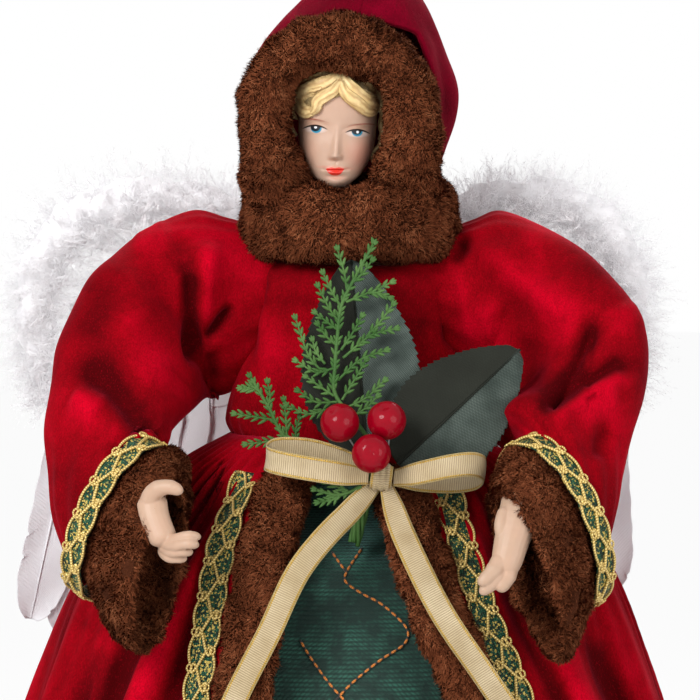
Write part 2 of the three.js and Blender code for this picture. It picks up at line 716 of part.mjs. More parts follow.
const headCentre = at(headX, headY, collarTopZ + headLift);
const swellings = [
  { across: 0, up: -0.07, wide: 0.045, tall: 0.12, out: 0.05 },
  { across: 0, up: -0.125, wide: 0.05, tall: 0.03, out: 0.045 },
  { across: 0, up: -0.235, wide: 0.085, tall: 0.03, out: 0.022 },
  { across: 0, up: -0.36, wide: 0.1, tall: 0.07, out: 0.03 },
  { across: 0.15, up: 0.02, wide: 0.07, tall: 0.05, out: -0.022 },
  { across: -0.15, up: 0.02, wide: 0.07, tall: 0.05, out: -0.022 },
  { across: 0.17, up: -0.1, wide: 0.1, tall: 0.1, out: 0.015 },
  { across: -0.17, up: -0.1, wide: 0.1, tall: 0.1, out: 0.015 },
  { across: 0.15, up: 0.3, wide: 0.13, tall: 0.12, out: 0.06 },
  { across: -0.15, up: 0.3, wide: 0.13, tall: 0.12, out: 0.06 },
  { across: 0.29, up: 0.16, wide: 0.08, tall: 0.16, out: 0.05 },
  { across: -0.29, up: 0.16, wide: 0.08, tall: 0.16, out: 0.05 },
];

function facePoint(across, up, front) {
  const jaw = up < 0 ? 1 - 0.5 * up * up * 4 : 1;
  const skin = at(across * 0.62 * jaw, -front * 0.7, up);
  const push = swellings.reduce((sum, s) => sum
    + s.out * Math.exp(-(((skin.x - s.across) / s.wide) ** 2) - ((up / 2 - s.up) / s.tall) ** 2), 0);
  if (front > 0) skin.y -= 2 * push;
  return skin.multiplyScalar(headHeight / 2);
}

function head() {
  const [around, levels] = [24, 14];
  const rings = Array.from({ length: levels }, (_, i) => {
    const up = -Math.cos((Math.PI * (i + 0.4)) / (levels - 0.2));
    const reach = Math.sqrt(1 - up * up);
    return Array.from({ length: around }, (_, j) => {
      const turn = (2 * Math.PI * j) / around;
      return facePoint(reach * Math.sin(turn), up, reach * Math.cos(turn));
    });
  });
  const skull = loft(rings).rotateX(headTilt).rotateY(headRoll).translate(...headCentre.toArray());
  const plateZ = torsoTopZ + clearance;
  const neckTop = at(headCentre.x, headCentre.y + headHeight / 8, headCentre.z - headHeight / 4);
  const neck = [[0, plateHalfWidth], [0.1, plateHalfWidth], [0.3, 1.5 * neckRadius], [0.5, neckRadius], [1, neckRadius]];
  const bust = loft(neck.map(([share, radius]) => {
    const centre = at(0, plateY, plateZ).lerp(neckTop, share);
    return ellipse(centre, at(radius, 0, 0), at(0, radius * 0.85, 0), 18);
  }));
  return joined([skull, bust]);
}

add('head', head(), resin, 0.4);

// Ribbon bow on the waist. A ribbon follows its middle line; its face is upright.

const bowZ = waistZ - bowDrop;
const bowY = -(skirtHalfWidth(bowZ / waistZ) * skirtDepthShare + trimLift + furBandThickness + bowStandoff);
const bowPoint = ([across, forward, up]) => at(bowX + across * ribbonWidth, bowY - forward * ribbonWidth, bowZ + up * ribbonWidth);

function ribbon(middle, acrossDirection, width, steps) {
  const curve = new THREE.CatmullRomCurve3(middle);
  const rings = Array.from({ length: steps + 1 }, (_, i) => {
    const t = i / steps;
    const across = acrossDirection(t).normalize();
    const face = at(0, 0, 0).crossVectors(curve.getTangent(t), across).normalize();
    const a = across.multiplyScalar(width / 2);
    const b = face.multiplyScalar(ribbonThickness / 2);
    const here = curve.getPoint(t);
    return [[1, 1], [-1, 1], [-1, -1], [1, -1]].map(([p, q]) => here.clone().addScaledVector(a, p).addScaledVector(b, q));
  });
  return loft(rings);
}

// Loops, as shares of the ribbon's width: across, forward and up from the knot
const leftLoopShares = [
  [-0.52, 0.25, 0.05], [-1.6, 0.75, 0.25], [-3, 0.85, 0.5], [-4.35, 0.6, 0.7], [-4.7, 0.1, 0.78],
  [-4.3, -0.35, 0.85], [-3, -0.5, 0.8], [-1.6, -0.35, 0.45], [-0.52, -0.2, 0.2],
];
const rightLoopShares = [
  [0.52, 0.25, -0.05], [1.4, 0.8, 0], [2.8, 0.95, 0.3], [3.8, 0.7, 0.45], [4.2, 0.15, 0.5],
  [3.8, -0.35, 0.55], [2.8, -0.5, 0.5], [1.5, -0.35, 0.25], [0.52, -0.2, 0.1],
];
const upright = () => at(0.08, 0, 1);
add('bow_left_loop', ribbon(leftLoopShares.map(bowPoint), upright, ribbonWidth, 16), ribbonGold, 0.5);
add('bow_right_loop', ribbon(rightLoopShares.map(bowPoint), upright, ribbonWidth, 16), ribbonGold, 0.5);

function bowKnot() {
  const rings = [-1, -0.8, 0, 0.8, 1].map((share) => ellipse(
    bowPoint([0, 0, share * 0.55]),
    at((knotWidth / 2) * (1 - 0.25 * Math.abs(share)), 0, 0),
    at(0, (knotWidth / 2) * (1.05 - 0.35 * Math.abs(share)), 0), 12));
  return loft(rings);
}

add('bow_knot', bowKnot(), ribbonGold, 0.5);

// Tails lie over the fur and braid: places across in shares of the hem's half width, heights in shares of the waist's
const tailShares = {
  left: [[0.035, 0.93], [-0.015, 0.917], [-0.105, 0.862], [-0.17, 0.79], [-0.235, 0.72], [-0.285, 0.65], [-0.33, 0.58]],
  right: [[0.09, 0.93], [0.115, 0.896], [0.19, 0.815], [0.275, 0.745], [0.335, 0.695], [0.395, 0.635], [0.44, 0.58]],
};

function tail(rows) {
  const lift = furBandThickness + trimLift + 5 * clearance + ribbonThickness;
  const middle = rows.map(([across, up]) => {
    const z = waistZ * up;
    const radius = skirtHalfWidth(up) + lift;
    return coatPoint(Math.asin((across * hemHalfWidth) / radius), z, lift);
  });
  const curve = new THREE.CatmullRomCurve3(middle);
  const crosswise = (t) => at(0, 0, 0).crossVectors(curve.getTangent(t), at(0, 1, 0));
  return ribbon(middle, crosswise, ribbonWidth, 14);
}

for (const { name } of sides) add(`${name}_ribbon_tail`, tail(tailShares[name]), ribbonGold, 0.5);

// Spray behind the bow: a bound bundle of stems that carries two leaves, three berries and cedar sprigs.
// Places are shares of the ribbon's width, across, forward and up from the knot.

const bundleShares = [[-0.18, -0.87, 0.9], [-0.4, -0.84, 0], [-0.75, -1.1, -1.4], [-1.15, -1.4, -3]];
add('stem_bundle', taperTube(bundleShares.map(bowPoint), () => bundleRadius, 8, 4), 0x2c5a34, 0.7);

// A leaf: pointed oval with a fold along its midrib
function leaf(base, tip, width, arch, fold) {
  const length = tip.clone().sub(base);
  const across = at(0, 0, 0).crossVectors(length, at(0, -1, 0)).normalize();
  const out = at(0, 0, 0).crossVectors(across, length).normalize();
  const [rows, columns] = [10, 6];
  const breadth = (t) => 0.06 + 0.94 * Math.sin(Math.PI * Math.min(1, t) ** 0.8) ** 0.75 * (1 - 0.1 * t);
  const layer = (depth) => Array.from({ length: rows + 1 }, (_, i) => {
    const t = i / rows;
    return Array.from({ length: columns + 1 }, (_, j) => {
      const side = (2 * j) / columns - 1;
      return base.clone().addScaledVector(length, t)
        .addScaledVector(across, side * breadth(t) * width / 2)
        .addScaledVector(out, (arch * Math.sin(Math.PI * t) + fold * Math.abs(side)) * width - depth);
    });
  });
  return sheet(layer(0), layer(leafThickness));
}

const bowOffset = (across, forward, up) => bowPoint([across, forward, up]);
const uprightBase = bowOffset(0.2, -1.45, 0.55);
const uprightTip = uprightBase.clone().addScaledVector(at(-0.17, 0.2, 0.97).normalize(), leafLength);
add('upright_leaf', leaf(uprightBase, uprightTip, leafWidth, 0.05, 0.04), leafGreen, 0.6);
const sideBase = bowOffset(0.7, -0.86, 0.45);
const sideTip = sideBase.clone().addScaledVector(at(0.72, 0.02, 0.68).normalize(), leafLength * 0.82);
add('side_leaf', leaf(sideBase, sideTip, leafWidth * 0.92, 0.03, -0.05), leafGreen, 0.6);

// Berries on wire stems
const berries = {
  berry_left: [[-1.71, 0.6, 2.28], [-1.2, -0.1, 1.35], [-0.62, -0.63, 0.5]],
  berry_right: [[0.21, 0.6, 2.38], [0.35, -0.1, 1.5], [0.22, -0.5, 0.75]],
  berry_low: [[-0.42, 1.4, 1.08], [-0.4, 0.3, 0.9], [-0.22, -0.42, 0.62]],
};
for (const [name, rows] of Object.entries(berries)) {
  const path = rows.map(bowPoint);
  const fruit = new THREE.SphereGeometry(berryRadius, 14, 8).translate(...path[0].toArray());
  add(name, joined([fruit, taperTube(path, () => berryWireRadius, 5, 3)]), berryRed, 0.15);
}

// Cedar: a stem with flat side branches, both thinner to the tip
function sprig(stem, branchCount, branchLength, spread) {
  const path = stem.map(bowPoint);
  const curve = new THREE.CatmullRomCurve3(path);
  const pieces = [taperTube(path, (t) => sprigRadius * (1 - 0.5 * t), 5, 6)];
  for (let k = 0; k < branchCount; k++) {
    const t = 0.22 + (0.72 * k) / branchCount;
    const from = curve.getPoint(t);
    const ahead = curve.getTangent(t);
    const side = at(0, 0, 0).crossVectors(ahead, at(0, 1, 0)).normalize().multiplyScalar(k % 2 ? 1 : -1);
    const toward = ahead.multiplyScalar(1.1).addScaledVector(side, spread).normalize();
    const length = branchLength * (1 - 0.55 * t);
    const end = from.clone().addScaledVector(toward, length);
    const middle = from.clone().addScaledVector(toward, length / 2).addScaledVector(side, length * 0.06);
    pieces.push(taperTube([from, middle, end], (u) => sprigRadius * (u > 0.9 ? 0.4 : 1.15 - 0.3 * u), 4, 2));
  }
  return joined(pieces);
}

const mainStem = [[-0.2, -0.88, 1.02], [-1.1, -0.6, 2.2], [-1.95, -0.55, 3.6], [-1.62, -1.1, 6.7], [-0.85, -1.6, 8.4], [-0.35, -2, 9.5]];
const leftStem = [[-0.78, -1.05, 0.2], [-2.4, -1.05, 0.8], [-4.2, -1, 1.8], [-5.4, -1.1, 3.9]];
const lowerStem = [[-0.85, -0.7, -0.55], [-1.2, -0.1, -0.9], [-1.75, 0.5, -0.95], [-2.5, 0.65, -0.62]];
add('main_sprig', sprig(mainStem, 10, mainBranchLength, 0.9), sprigGreen, 0.6);
add('left_sprig', sprig(leftStem, 6, leftBranchLength, 1), sprigGreen, 0.6);
add('lower_sprig', sprig(lowerStem, 3, lowerBranchLength, 1), sprigGreen, 0.6);

// Wings: a foam wedge on the back carries two card boards that lean back over the skirt.
// Each board carries a fan of quills in a strip of glue and a boa of down round its edge.

const wingTopZ = shoulderZ + downRadius;
const wingY = (x, z) => wingBackY + wingLean * Math.max(0, wingTopZ - z) + wingSweep * Math.abs(x);
const wingPlace = (sign, [out, up], back = 0) => {
  const x = sign * out * wingSpan;
  const z = waistZ + up * wingSpan;
  return at(x, wingY(x, z) + back, z);
};

function wingBlock() {
  const rings = [-0.5, 0.5].map((share) => {
    const z = waistZ + bodiceLength / 2 + blockLift + share * blockHeight;
    const front = waistHalfDepth * along(torsoShares, (z - waistZ + bodiceTuck) / (bodiceLength + bodiceTuck)) + clearance;
    const back = wingY(0, z) - clearance;
    return [at(-blockHalfWidth, front, z), at(blockHalfWidth, front, z), at(blockHalfWidth, back, z), at(-blockHalfWidth, back, z)];
  });
  return loft(rings);
}

add('wing_block', wingBlock(), 0xefe9dc, 0.9);

// The boa's line, out and up from the waist, and how far the board's edge stays inside it
const downShares = [[0.2, 0.6], [0.45, 0.7], [0.7, 0.715], [0.9, 0.63], [1.005, 0.45], [1.015, 0.23], [0.985, 0.04]];
const downSeat = Math.sqrt((downRadius + clearance) ** 2 - downSetBack ** 2);

function wingBoard(sign) {
  const outer = 1.005 - downSeat / wingSpan;
  const columns = [0, 0.2, 0.4, 0.6, 0.8, 0.93, 1];
  const lowShares = [[0, 0.14], [0.5, 0.02], [0.9, 0.03], [1, 0.12]];
  const layer = (back) => [0, 0.35, 0.7, 1].map((rise) => columns.map((share) => {
    const out = boardRootX / wingSpan + (outer - boardRootX / wingSpan) * share;
    const cornerDrop = 0.14 * eased((share - 0.7) / 0.3);
    const top = along([[0, 0.5], ...downShares.slice(0, 4)], out) - (1.12 * downSeat) / wingSpan - cornerDrop;
    const low = along(lowShares, share);
    return wingPlace(sign, [out, low + (top - low) * rise], back);
  }));
  return sheet(layer(0), layer(boardThickness));
}

function wingDown(sign) {
  const path = downShares.map((place) => wingPlace(sign, place, downSetBack));
  const radius = (t) => downRadius * (0.94 + 0.06 * Math.cos(t * 40)) * (t < 0.03 || t > 0.97 ? 0.6 : 1);
  return taperTube(path, radius, 10, 20);
}

const quillShares = { left: { lean: 0.06, fan: 0.025, length: 1 }, right: { lean: -0.06, fan: 0.02, length: 0.86 } };

function wingQuills(name, sign) {
  const { lean, fan, length } = quillShares[name];
  const root = (k) => [0.26 + (0.58 * k) / (quillCount - 1), 0.22 + 0.06 * Math.sin((Math.PI * k) / quillCount)];
  const forward = (k) => -(2 * clearance + quillThickness / 2 + quillPitch * k);
  const pieces = [];
  for (let k = 0; k < quillCount; k++) {
    const [out, up] = root(k);
    const angle = lean + fan * (k - quillCount / 2);
    const reach = (quillLength / wingSpan) * length * (0.78 + 0.24 * Math.sin((Math.PI * (k + 1)) / (quillCount + 2)));
    const rings = Array.from({ length: 7 }, (_, i) => {
      const t = i / 6;
      const place = [out + Math.sin(angle + 0.1 * t) * reach * t, up - Math.cos(angle) * reach * t];
      const width = quillWidth * (0.12 + 0.88 * Math.sin(Math.PI * (0.06 + 0.86 * t)) ** 0.6) / 2;
      const thickness = (quillThickness / 2) * (1 - 0.5 * t);
      return ellipse(wingPlace(sign, place, forward(k)), at(width, sign * wingSweep * width, 0), at(0, thickness, 0), 4);
    });
    pieces.push(loft(rings));
  }
  const glueDepth = (quillCount * quillPitch + quillThickness) / 2;
  const strip = loft([-0.3, ...Array.from({ length: quillCount }, (_, k) => k), quillCount - 0.7].map((k) => {
    const [out, up] = root(k);
    const centre = wingPlace(sign, [out, up - 0.015], -(clearance + glueDepth));
    return ellipse(centre, at(0, glueDepth, 0), at(0, 0, glueHalfHeight), 8);
  }));
  return joined([strip, ...pieces]);
}

for (const { name, sign } of sides) {
  add(`${name}_wing_board`, wingBoard(sign), white, 0.9);
  add(`${name}_wing_quills`, wingQuills(name, sign), white, 0.8);
  add(`${name}_wing_down`, wingDown(sign), white, 0.95);
}

export default group;
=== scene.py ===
# The looks of the angel tree topper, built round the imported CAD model.
# Lengths are in millimetres here, and each mesh turns them into metres.

import math

import bpy
import numpy as np
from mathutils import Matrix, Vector


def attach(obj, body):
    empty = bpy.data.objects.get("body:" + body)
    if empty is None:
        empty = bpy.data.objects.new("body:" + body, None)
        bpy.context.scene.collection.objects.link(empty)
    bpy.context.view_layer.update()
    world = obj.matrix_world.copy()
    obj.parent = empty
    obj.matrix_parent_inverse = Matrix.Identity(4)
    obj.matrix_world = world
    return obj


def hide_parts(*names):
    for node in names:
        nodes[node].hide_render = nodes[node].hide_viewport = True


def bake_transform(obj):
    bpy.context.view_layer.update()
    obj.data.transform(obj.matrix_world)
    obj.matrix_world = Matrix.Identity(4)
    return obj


MM = 0.001
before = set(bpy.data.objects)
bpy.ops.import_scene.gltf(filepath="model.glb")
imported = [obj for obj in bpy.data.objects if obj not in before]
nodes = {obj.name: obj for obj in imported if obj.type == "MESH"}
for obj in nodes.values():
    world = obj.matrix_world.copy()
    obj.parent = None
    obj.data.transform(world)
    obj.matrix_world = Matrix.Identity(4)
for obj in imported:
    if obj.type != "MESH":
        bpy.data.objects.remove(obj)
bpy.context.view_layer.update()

# The camera stands in front of the bow, a little above it
VIEW_WIDTH = 210
VIEW_DISTANCE = 1200
VIEW_RISE = math.radians(3)
VIEW_TARGET = np.array([0, -40, 284.5])
PICTURE = 700


def camera_frame():
    """The camera's place and its right, up and forward directions."""
    forward = np.array([0, math.cos(VIEW_RISE), -math.sin(VIEW_RISE)])
    up = np.array([0, math.sin(VIEW_RISE), math.cos(VIEW_RISE)])
    return VIEW_TARGET - forward * VIEW_DISTANCE, np.array([1.0, 0, 0]), up, forward


def in_photo(points):
    """Where points show in the photograph, in its pixels."""
    eye, right, up, forward = camera_frame()
    ray = points - eye
    scale = PICTURE / VIEW_WIDTH * VIEW_DISTANCE / (ray @ forward)
    return np.stack([PICTURE / 2 + ray @ right * scale, PICTURE / 2 - ray @ up * scale], -1)


def from_photo(places, y):
    """The points at depth y that show at places in the photograph."""
    eye, right, up, forward = camera_frame()
    places = np.asarray(places, float)
    reach = VIEW_WIDTH / PICTURE / VIEW_DISTANCE
    across, down = (places[..., :1] - PICTURE / 2) * reach, (PICTURE / 2 - places[..., 1:2]) * reach
    ray = forward + right * across + up * down
    return eye + ray * ((np.asarray(y, float) - eye[1]) / ray[..., 1])[..., None]


# Small helpers for shapes


def unit(vectors):
    return vectors / np.maximum(np.linalg.norm(vectors, axis=-1, keepdims=True), 1e-9)


def ease(t):
    t = np.clip(t, 0, 1)
    return t * t * (3 - 2 * t)


def hill(t, middle, width):
    return np.exp(-(((t - middle) / width) ** 2))


def full_turn(count):
    return 2 * np.pi * np.arange(count) / count


def squared_off(turn, power):
    """How much further out a nearly square section lies than a round one."""
    return 1 / (np.abs(np.cos(turn)) ** power + np.abs(np.sin(turn)) ** power) ** (1 / power)


def run_along(path):
    """The length of a path up to each of its points."""
    return np.concatenate([[0], np.cumsum(np.linalg.norm(np.diff(path, axis=0), axis=1))])


def read_along(where, run, values):
    """Rows of values, read at places between the stations in run."""
    return np.stack([np.interp(where, run, values[:, k]) for k in range(3)], -1)


def profile(rows):
    """A smooth curve through rows of (place, value)."""
    x, y = np.array(rows, float).T
    step = np.diff(x)
    slope = np.diff(y) / step
    inner = (slope[:-1] * step[1:] + slope[1:] * step[:-1]) / (step[:-1] + step[1:])
    ends = np.concatenate([[slope[0]], inner, [slope[-1]]])

    def curve(t):
        t = np.clip(t, x[0], x[-1])
        k = np.clip(np.searchsorted(x, t, side="right") - 1, 0, len(step) - 1)
        u = (t - x[k]) / step[k]
        return ((2 * u**3 - 3 * u**2 + 1) * y[k] + (u**3 - 2 * u**2 + u) * step[k] * ends[k]
                + (3 * u**2 - 2 * u**3) * y[k + 1] + (u**3 - u**2) * step[k] * ends[k + 1])

    return curve


def spline(rows):
    """A smooth curve through points, from 0 at the first to 1 at the last."""
    rows = np.array(rows, float)
    ends = np.vstack([2 * rows[0] - rows[1], rows, 2 * rows[-1] - rows[-2]])

    def curve(t):
        place = np.clip(np.asarray(t, float), 0, 1) * (len(rows) - 1)
        k = np.minimum(place.astype(int), len(rows) - 2)
        u = (place - k)[..., None]
        a, b, c, d = (ends[k + i] for i in range(4))
        return 0.5 * (2 * b + (c - a) * u + (2 * a - 5 * b + 4 * c - d) * u**2 + (3 * b - a - 3 * c + d) * u**3)

    return curve


WAVES = 16


def drift(points, size, seed):
    """Smooth random values, mostly between -1 and 1, that change over a length of size."""
    rng = np.random.default_rng(seed)
    way = unit(rng.normal(size=(WAVES, 3))) * (2 * np.pi / (size * rng.uniform(0.7, 1.6, WAVES)))[:, None]
    return np.sin(points @ way.T + rng.uniform(0, 2 * np.pi, WAVES)).sum(-1) * 0.6 / math.sqrt(WAVES / 2)


def surface_normals(points, loop=False):
    """Normals of a grid of points, on the side where columns, then rows, turn right-handed."""
    if loop:
        across = np.roll(points, -1, axis=1) - np.roll(points, 1, axis=1)
    else:
        across = np.gradient(points, axis=1)
    return unit(np.cross(across, np.gradient(points, axis=0)))


def to_line(places, line):
    """Distance of flat places from a line of points, the side they lie on and the share along it."""
    line = np.array(line, float)
    lengths = np.linalg.norm(np.diff(line, axis=0), axis=1)
    starts = np.concatenate([[0], np.cumsum(lengths)]) / lengths.sum()
    best = np.full(places.shape[:-1], np.inf)
    side, share = np.zeros_like(best), np.zeros_like(best)
    for k, (a, b) in enumerate(zip(line[:-1], line[1:])):
        run = b - a
        t = np.clip(((places - a) @ run) / (run @ run), 0, 1)
        away = places - a - t[..., None] * run
        distance = np.linalg.norm(away, axis=-1)
        nearer = distance < best
        best = np.where(nearer, distance, best)
        side = np.where(nearer, np.sign(run[0] * away[..., 1] - run[1] * away[..., 0]), side)
        share = np.where(nearer, starts[k] + t * (starts[k + 1] - starts[k]), share)
    return best, side, share


def sculpt(points, normals, strokes):
    """Pushes a cloth in or out along strokes drawn on the photograph, and tells how far.
    Each stroke has a line in pixels, a width and a depth in millimetres, and a step that lifts its left side."""
    seen = in_photo(points)
    eye = camera_frame()[0]
    facing = ease(-(unit(points - eye) * normals).sum(-1) * 3 + 0.2)
    push = np.zeros(points.shape[:-1])
    for line, width, depth, step in strokes:
        distance, side, share = to_line(seen, line)
        reach = distance * VIEW_WIDTH / PICTURE / width
        ends = ease(share * 3.4 + 0.08) * ease((1 - share) * 3.4 + 0.08)
        push += ends * (step * side * reach * np.exp(0.5 - reach**2 / 2) - depth * np.exp(-(reach**2)))
    push = push * facing
    return points + normals * push[..., None], push


def relax(points, rounds, share):
    """Evens out a closed grid where its rows crowd. The first and the last row stay."""
    for _ in range(rounds):
        middle = points.copy()
        beside = (np.roll(points, 1, 1) + np.roll(points, -1, 1))[1:-1] / 4
        middle[1:-1] = beside + (points[:-2] + points[2:]) / 4
        points = points + share * (middle - points)
    return points


class Shape:
    """Collects the points, faces and cloth coordinates of one piece."""

    def __init__(self):
        self.points, self.corners, self.sizes, self.places, self.slots, self.shades_and_naps = [], [], [], [], [], []
        self.total = 0

    def add(self, points, faces, places=None, slot=0, shade_and_nap=0.5):
        """Faces name their points by number; places are the cloth coordinates of each face's corners.
        The last argument tells how a velvet is painted at its points, from 0, dark, to 1, bright: painted shade in
        its hollows, painted highlight on its folds and slow random patches of its pile."""
        points = np.asarray(points, float).reshape(-1, 3)
        faces = np.asarray(faces)
        self.points.append(points)
        self.corners.append((faces + self.total).ravel())
        self.sizes.append(np.full(len(faces), faces.shape[1]))
        places = np.zeros((faces.size, 2)) if places is None else np.asarray(places, float)
        self.places.append(places.reshape(-1, 2))
        self.slots.append(np.broadcast_to(slot, len(faces)))
        self.shades_and_naps.append(np.broadcast_to(np.ravel(shade_and_nap), len(points)))
        self.total += len(points)

    def grid(self, points, places=None, slot=0, loop=False, turned=False, shade_and_nap=0.5):
        """Rows and columns of points. places has one more column than points where the grid is a loop."""
        rows, columns = points.shape[:2]
        i, j = np.meshgrid(np.arange(rows - 1), np.arange(columns if loop else columns - 1), indexing="ij")
        i, j = i.ravel(), j.ravel()
        order = [(0, 0), (0, 1), (1, 1), (1, 0)]
        if turned:
            order = order[::-1]
        faces = np.stack([(i + p) * columns + (j + q) % columns for p, q in order], 1)
        corner_places = None if places is None else np.stack([places[i + p, j + q] for p, q in order], 1)
        self.add(points, faces, corner_places, slot, shade_and_nap)

    def cap(self, first, count, turned=False, slot=0):
        """One face over a closed section."""
        order = np.arange(count)[::-1] if turned else np.arange(count)
        self.corners.append(first + order)
        self.sizes.append(np.array([count]))
        self.places.append(np.zeros((count, 2)))
        self.slots.append(np.array([slot]))

    def edge(self, first, second, slot=0):
        """A strip of faces between two lines of points that are there already."""
        faces = np.stack([first[:-1], first[1:], second[1:], second[:-1]], 1)
        self.corners.append(faces.ravel())
        self.sizes.append(np.full(len(faces), 4))
        self.places.append(np.zeros((faces.size, 2)))
        self.slots.append(np.full(len(faces), slot))

    def solid(self, sections, places=None, slot=0, turned=False, end_slots=None):
        """Closed sections with a face over each end."""
        start, (rows, count) = self.total, sections.shape[:2]
        first_slot, last_slot = end_slots or (slot, slot)
        self.grid(sections, places, slot, loop=True, turned=turned)
        self.cap(start, count, not turned, first_slot)
        self.cap(start + (rows - 1) * count, count, turned, last_slot)

    def cloth(self, outer, thickness, places=None, slot=0, loop=False, shade_and_nap=0.5):
        """A cloth with two faces, closed along its edges. It lies inside the grid that is its outer face."""
        rows, columns = outer.shape[:2]
        inner = outer - surface_normals(outer, loop) * thickness
        start = self.total
        self.grid(outer, places, slot, loop, shade_and_nap=shade_and_nap)
        self.grid(inner, places, slot, loop, turned=True, shade_and_nap=shade_and_nap)
        front = start + np.arange(rows * columns).reshape(rows, columns)
        back = front + rows * columns
        if loop:
            close = lambda line: np.append(line, line[0])
            self.edge(close(front[0])[::-1], close(back[0])[::-1], slot=slot)
            self.edge(close(front[-1]), close(back[-1]), slot=slot)
        else:
            ring = lambda g: np.concatenate([g[0, ::-1], g[1:, 0], g[-1, 1:], g[::-1, -1][1:]])
            self.edge(ring(front), ring(back), slot=slot)

    def tube(self, path, radius, sides=6, slot=0, flat=1.0, up=(0, -1, 0.2), wobble=None):
        """A round cord along a path, with closed ends."""
        path = np.asarray(path, float)
        along = unit(np.gradient(path, axis=0))
        side = unit(np.cross(along, np.broadcast_to(np.asarray(up, float), path.shape)))
        out = np.cross(side, along)
        turn = full_turn(sides)
        size = np.broadcast_to(radius, len(path))[:, None, None]
        if wobble is not None:
            size = size * wobble(np.arange(len(path))[:, None], turn[None, :])[..., None]
        ring = np.cos(turn)[None, :, None] * side[:, None] + flat * np.sin(turn)[None, :, None] * out[:, None]
        places = np.stack(np.broadcast_arrays(run_along(path)[:, None], np.arange(sides + 1) / sides), -1)
        self.solid(path[:, None] + ring * size, places, slot)

    def make(self, name, finishes, normals=None):
        """The finished piece, in metres."""
        mesh = bpy.data.meshes.new(name)
        points, corners = np.concatenate(self.points) * MM, np.concatenate(self.corners)
        sizes, slots = np.concatenate(self.sizes), np.concatenate(self.slots)
        mesh.vertices.add(len(points))
        mesh.vertices.foreach_set("co", points.astype(np.float32).ravel())
        mesh.loops.add(len(corners))
        mesh.loops.foreach_set("vertex_index", corners.astype(np.int32))
        mesh.polygons.add(len(sizes))
        mesh.polygons.foreach_set("loop_start", np.concatenate([[0], np.cumsum(sizes)[:-1]]).astype(np.int32))
        mesh.polygons.foreach_set("material_index", slots.astype(np.int32))
        places = np.concatenate(self.places).astype(np.float32)
        mesh.uv_layers.new(name="cloth").data.foreach_set("uv", places.ravel())
        # How each velvet is painted at its points: shade in its hollows, highlight on its folds
        shades_and_naps = np.concatenate(self.shades_and_naps)
        if np.ptp(shades_and_naps) > 0:
            mesh.attributes.new("shade_and_nap", "FLOAT", "POINT").data.foreach_set("value", shades_and_naps.astype(np.float32))
        mesh.update(calc_edges=True)
        for finish in finishes:
            mesh.materials.append(finish)
        mesh.shade_smooth()
        if normals is not None:
            mesh.normals_split_custom_set_from_vertices(normals.tolist())
        piece = bpy.data.objects.new(name, mesh)
        bpy.context.scene.collection.objects.link(piece)
        return piece


def settle(piece, body, slot, *stands_for):
    """Puts a piece on its body and hides the CAD nodes that it stands for."""
    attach(piece, body)
    if stands_for:
        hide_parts(*stands_for)
    return piece


def cloth_places(outer, loop=False):
    """Cloth coordinates of a grid: the lengths along its rows and columns."""
    rows = len(outer)
    ring = np.concatenate([outer, outer[:, :1]], 1) if loop else outer
    across = np.linalg.norm(np.diff(ring, axis=1), axis=2)
    up = np.linalg.norm(np.diff(outer, axis=0), axis=2).mean(1)
    u = np.concatenate([np.zeros((rows, 1)), np.cumsum(across, 1)], 1)
    u -= u.mean(1, keepdims=True)
    v = np.concatenate([[0], np.cumsum(up)])
    return np.stack(np.broadcast_arrays(u, v[:, None]), -1)


# Materials written as expressions


class Value:
    """A shader socket that takes part in arithmetic."""

    def __init__(self, finish, socket):
        self.finish, self.socket = finish, socket

    def math(self, operation, *others, clamp=False):
        node = self.finish.tree.nodes.new("ShaderNodeMath")
        node.operation, node.use_clamp = operation, clamp
        for place, term in enumerate((self, *others)):
            self.finish.feed(node.inputs[place], term)
        return Value(self.finish, node.outputs[0])

    def __add__(self, other):
        return self.math("ADD", other)

    def __sub__(self, other):
        return self.math("SUBTRACT", other)

    def __mul__(self, other):
        return self.math("MULTIPLY", other)

    def __truediv__(self, other):
        return self.math("DIVIDE", other)

    def __pow__(self, other):
        return self.math("POWER", other)

    def __rsub__(self, other):
        return self * -1 + other

    __radd__, __rmul__ = __add__, __mul__

    def clamp(self):
        return self.math("ADD", 0.0, clamp=True)

    def fract(self):
        return self.math("FRACT")

    def sin(self):
        return self.math("SINE")

    def abs(self):
        return self.math("ABSOLUTE")

    def above(self, level, softness):
        """0 below the level and 1 above it, over a soft edge."""
        return ((self - level) / softness + 0.5).clamp()

    def into(self, place, term):
        """Feeds one more input of the node that this value comes out of."""
        self.finish.feed(self.socket.node.inputs[place], term)
        return self


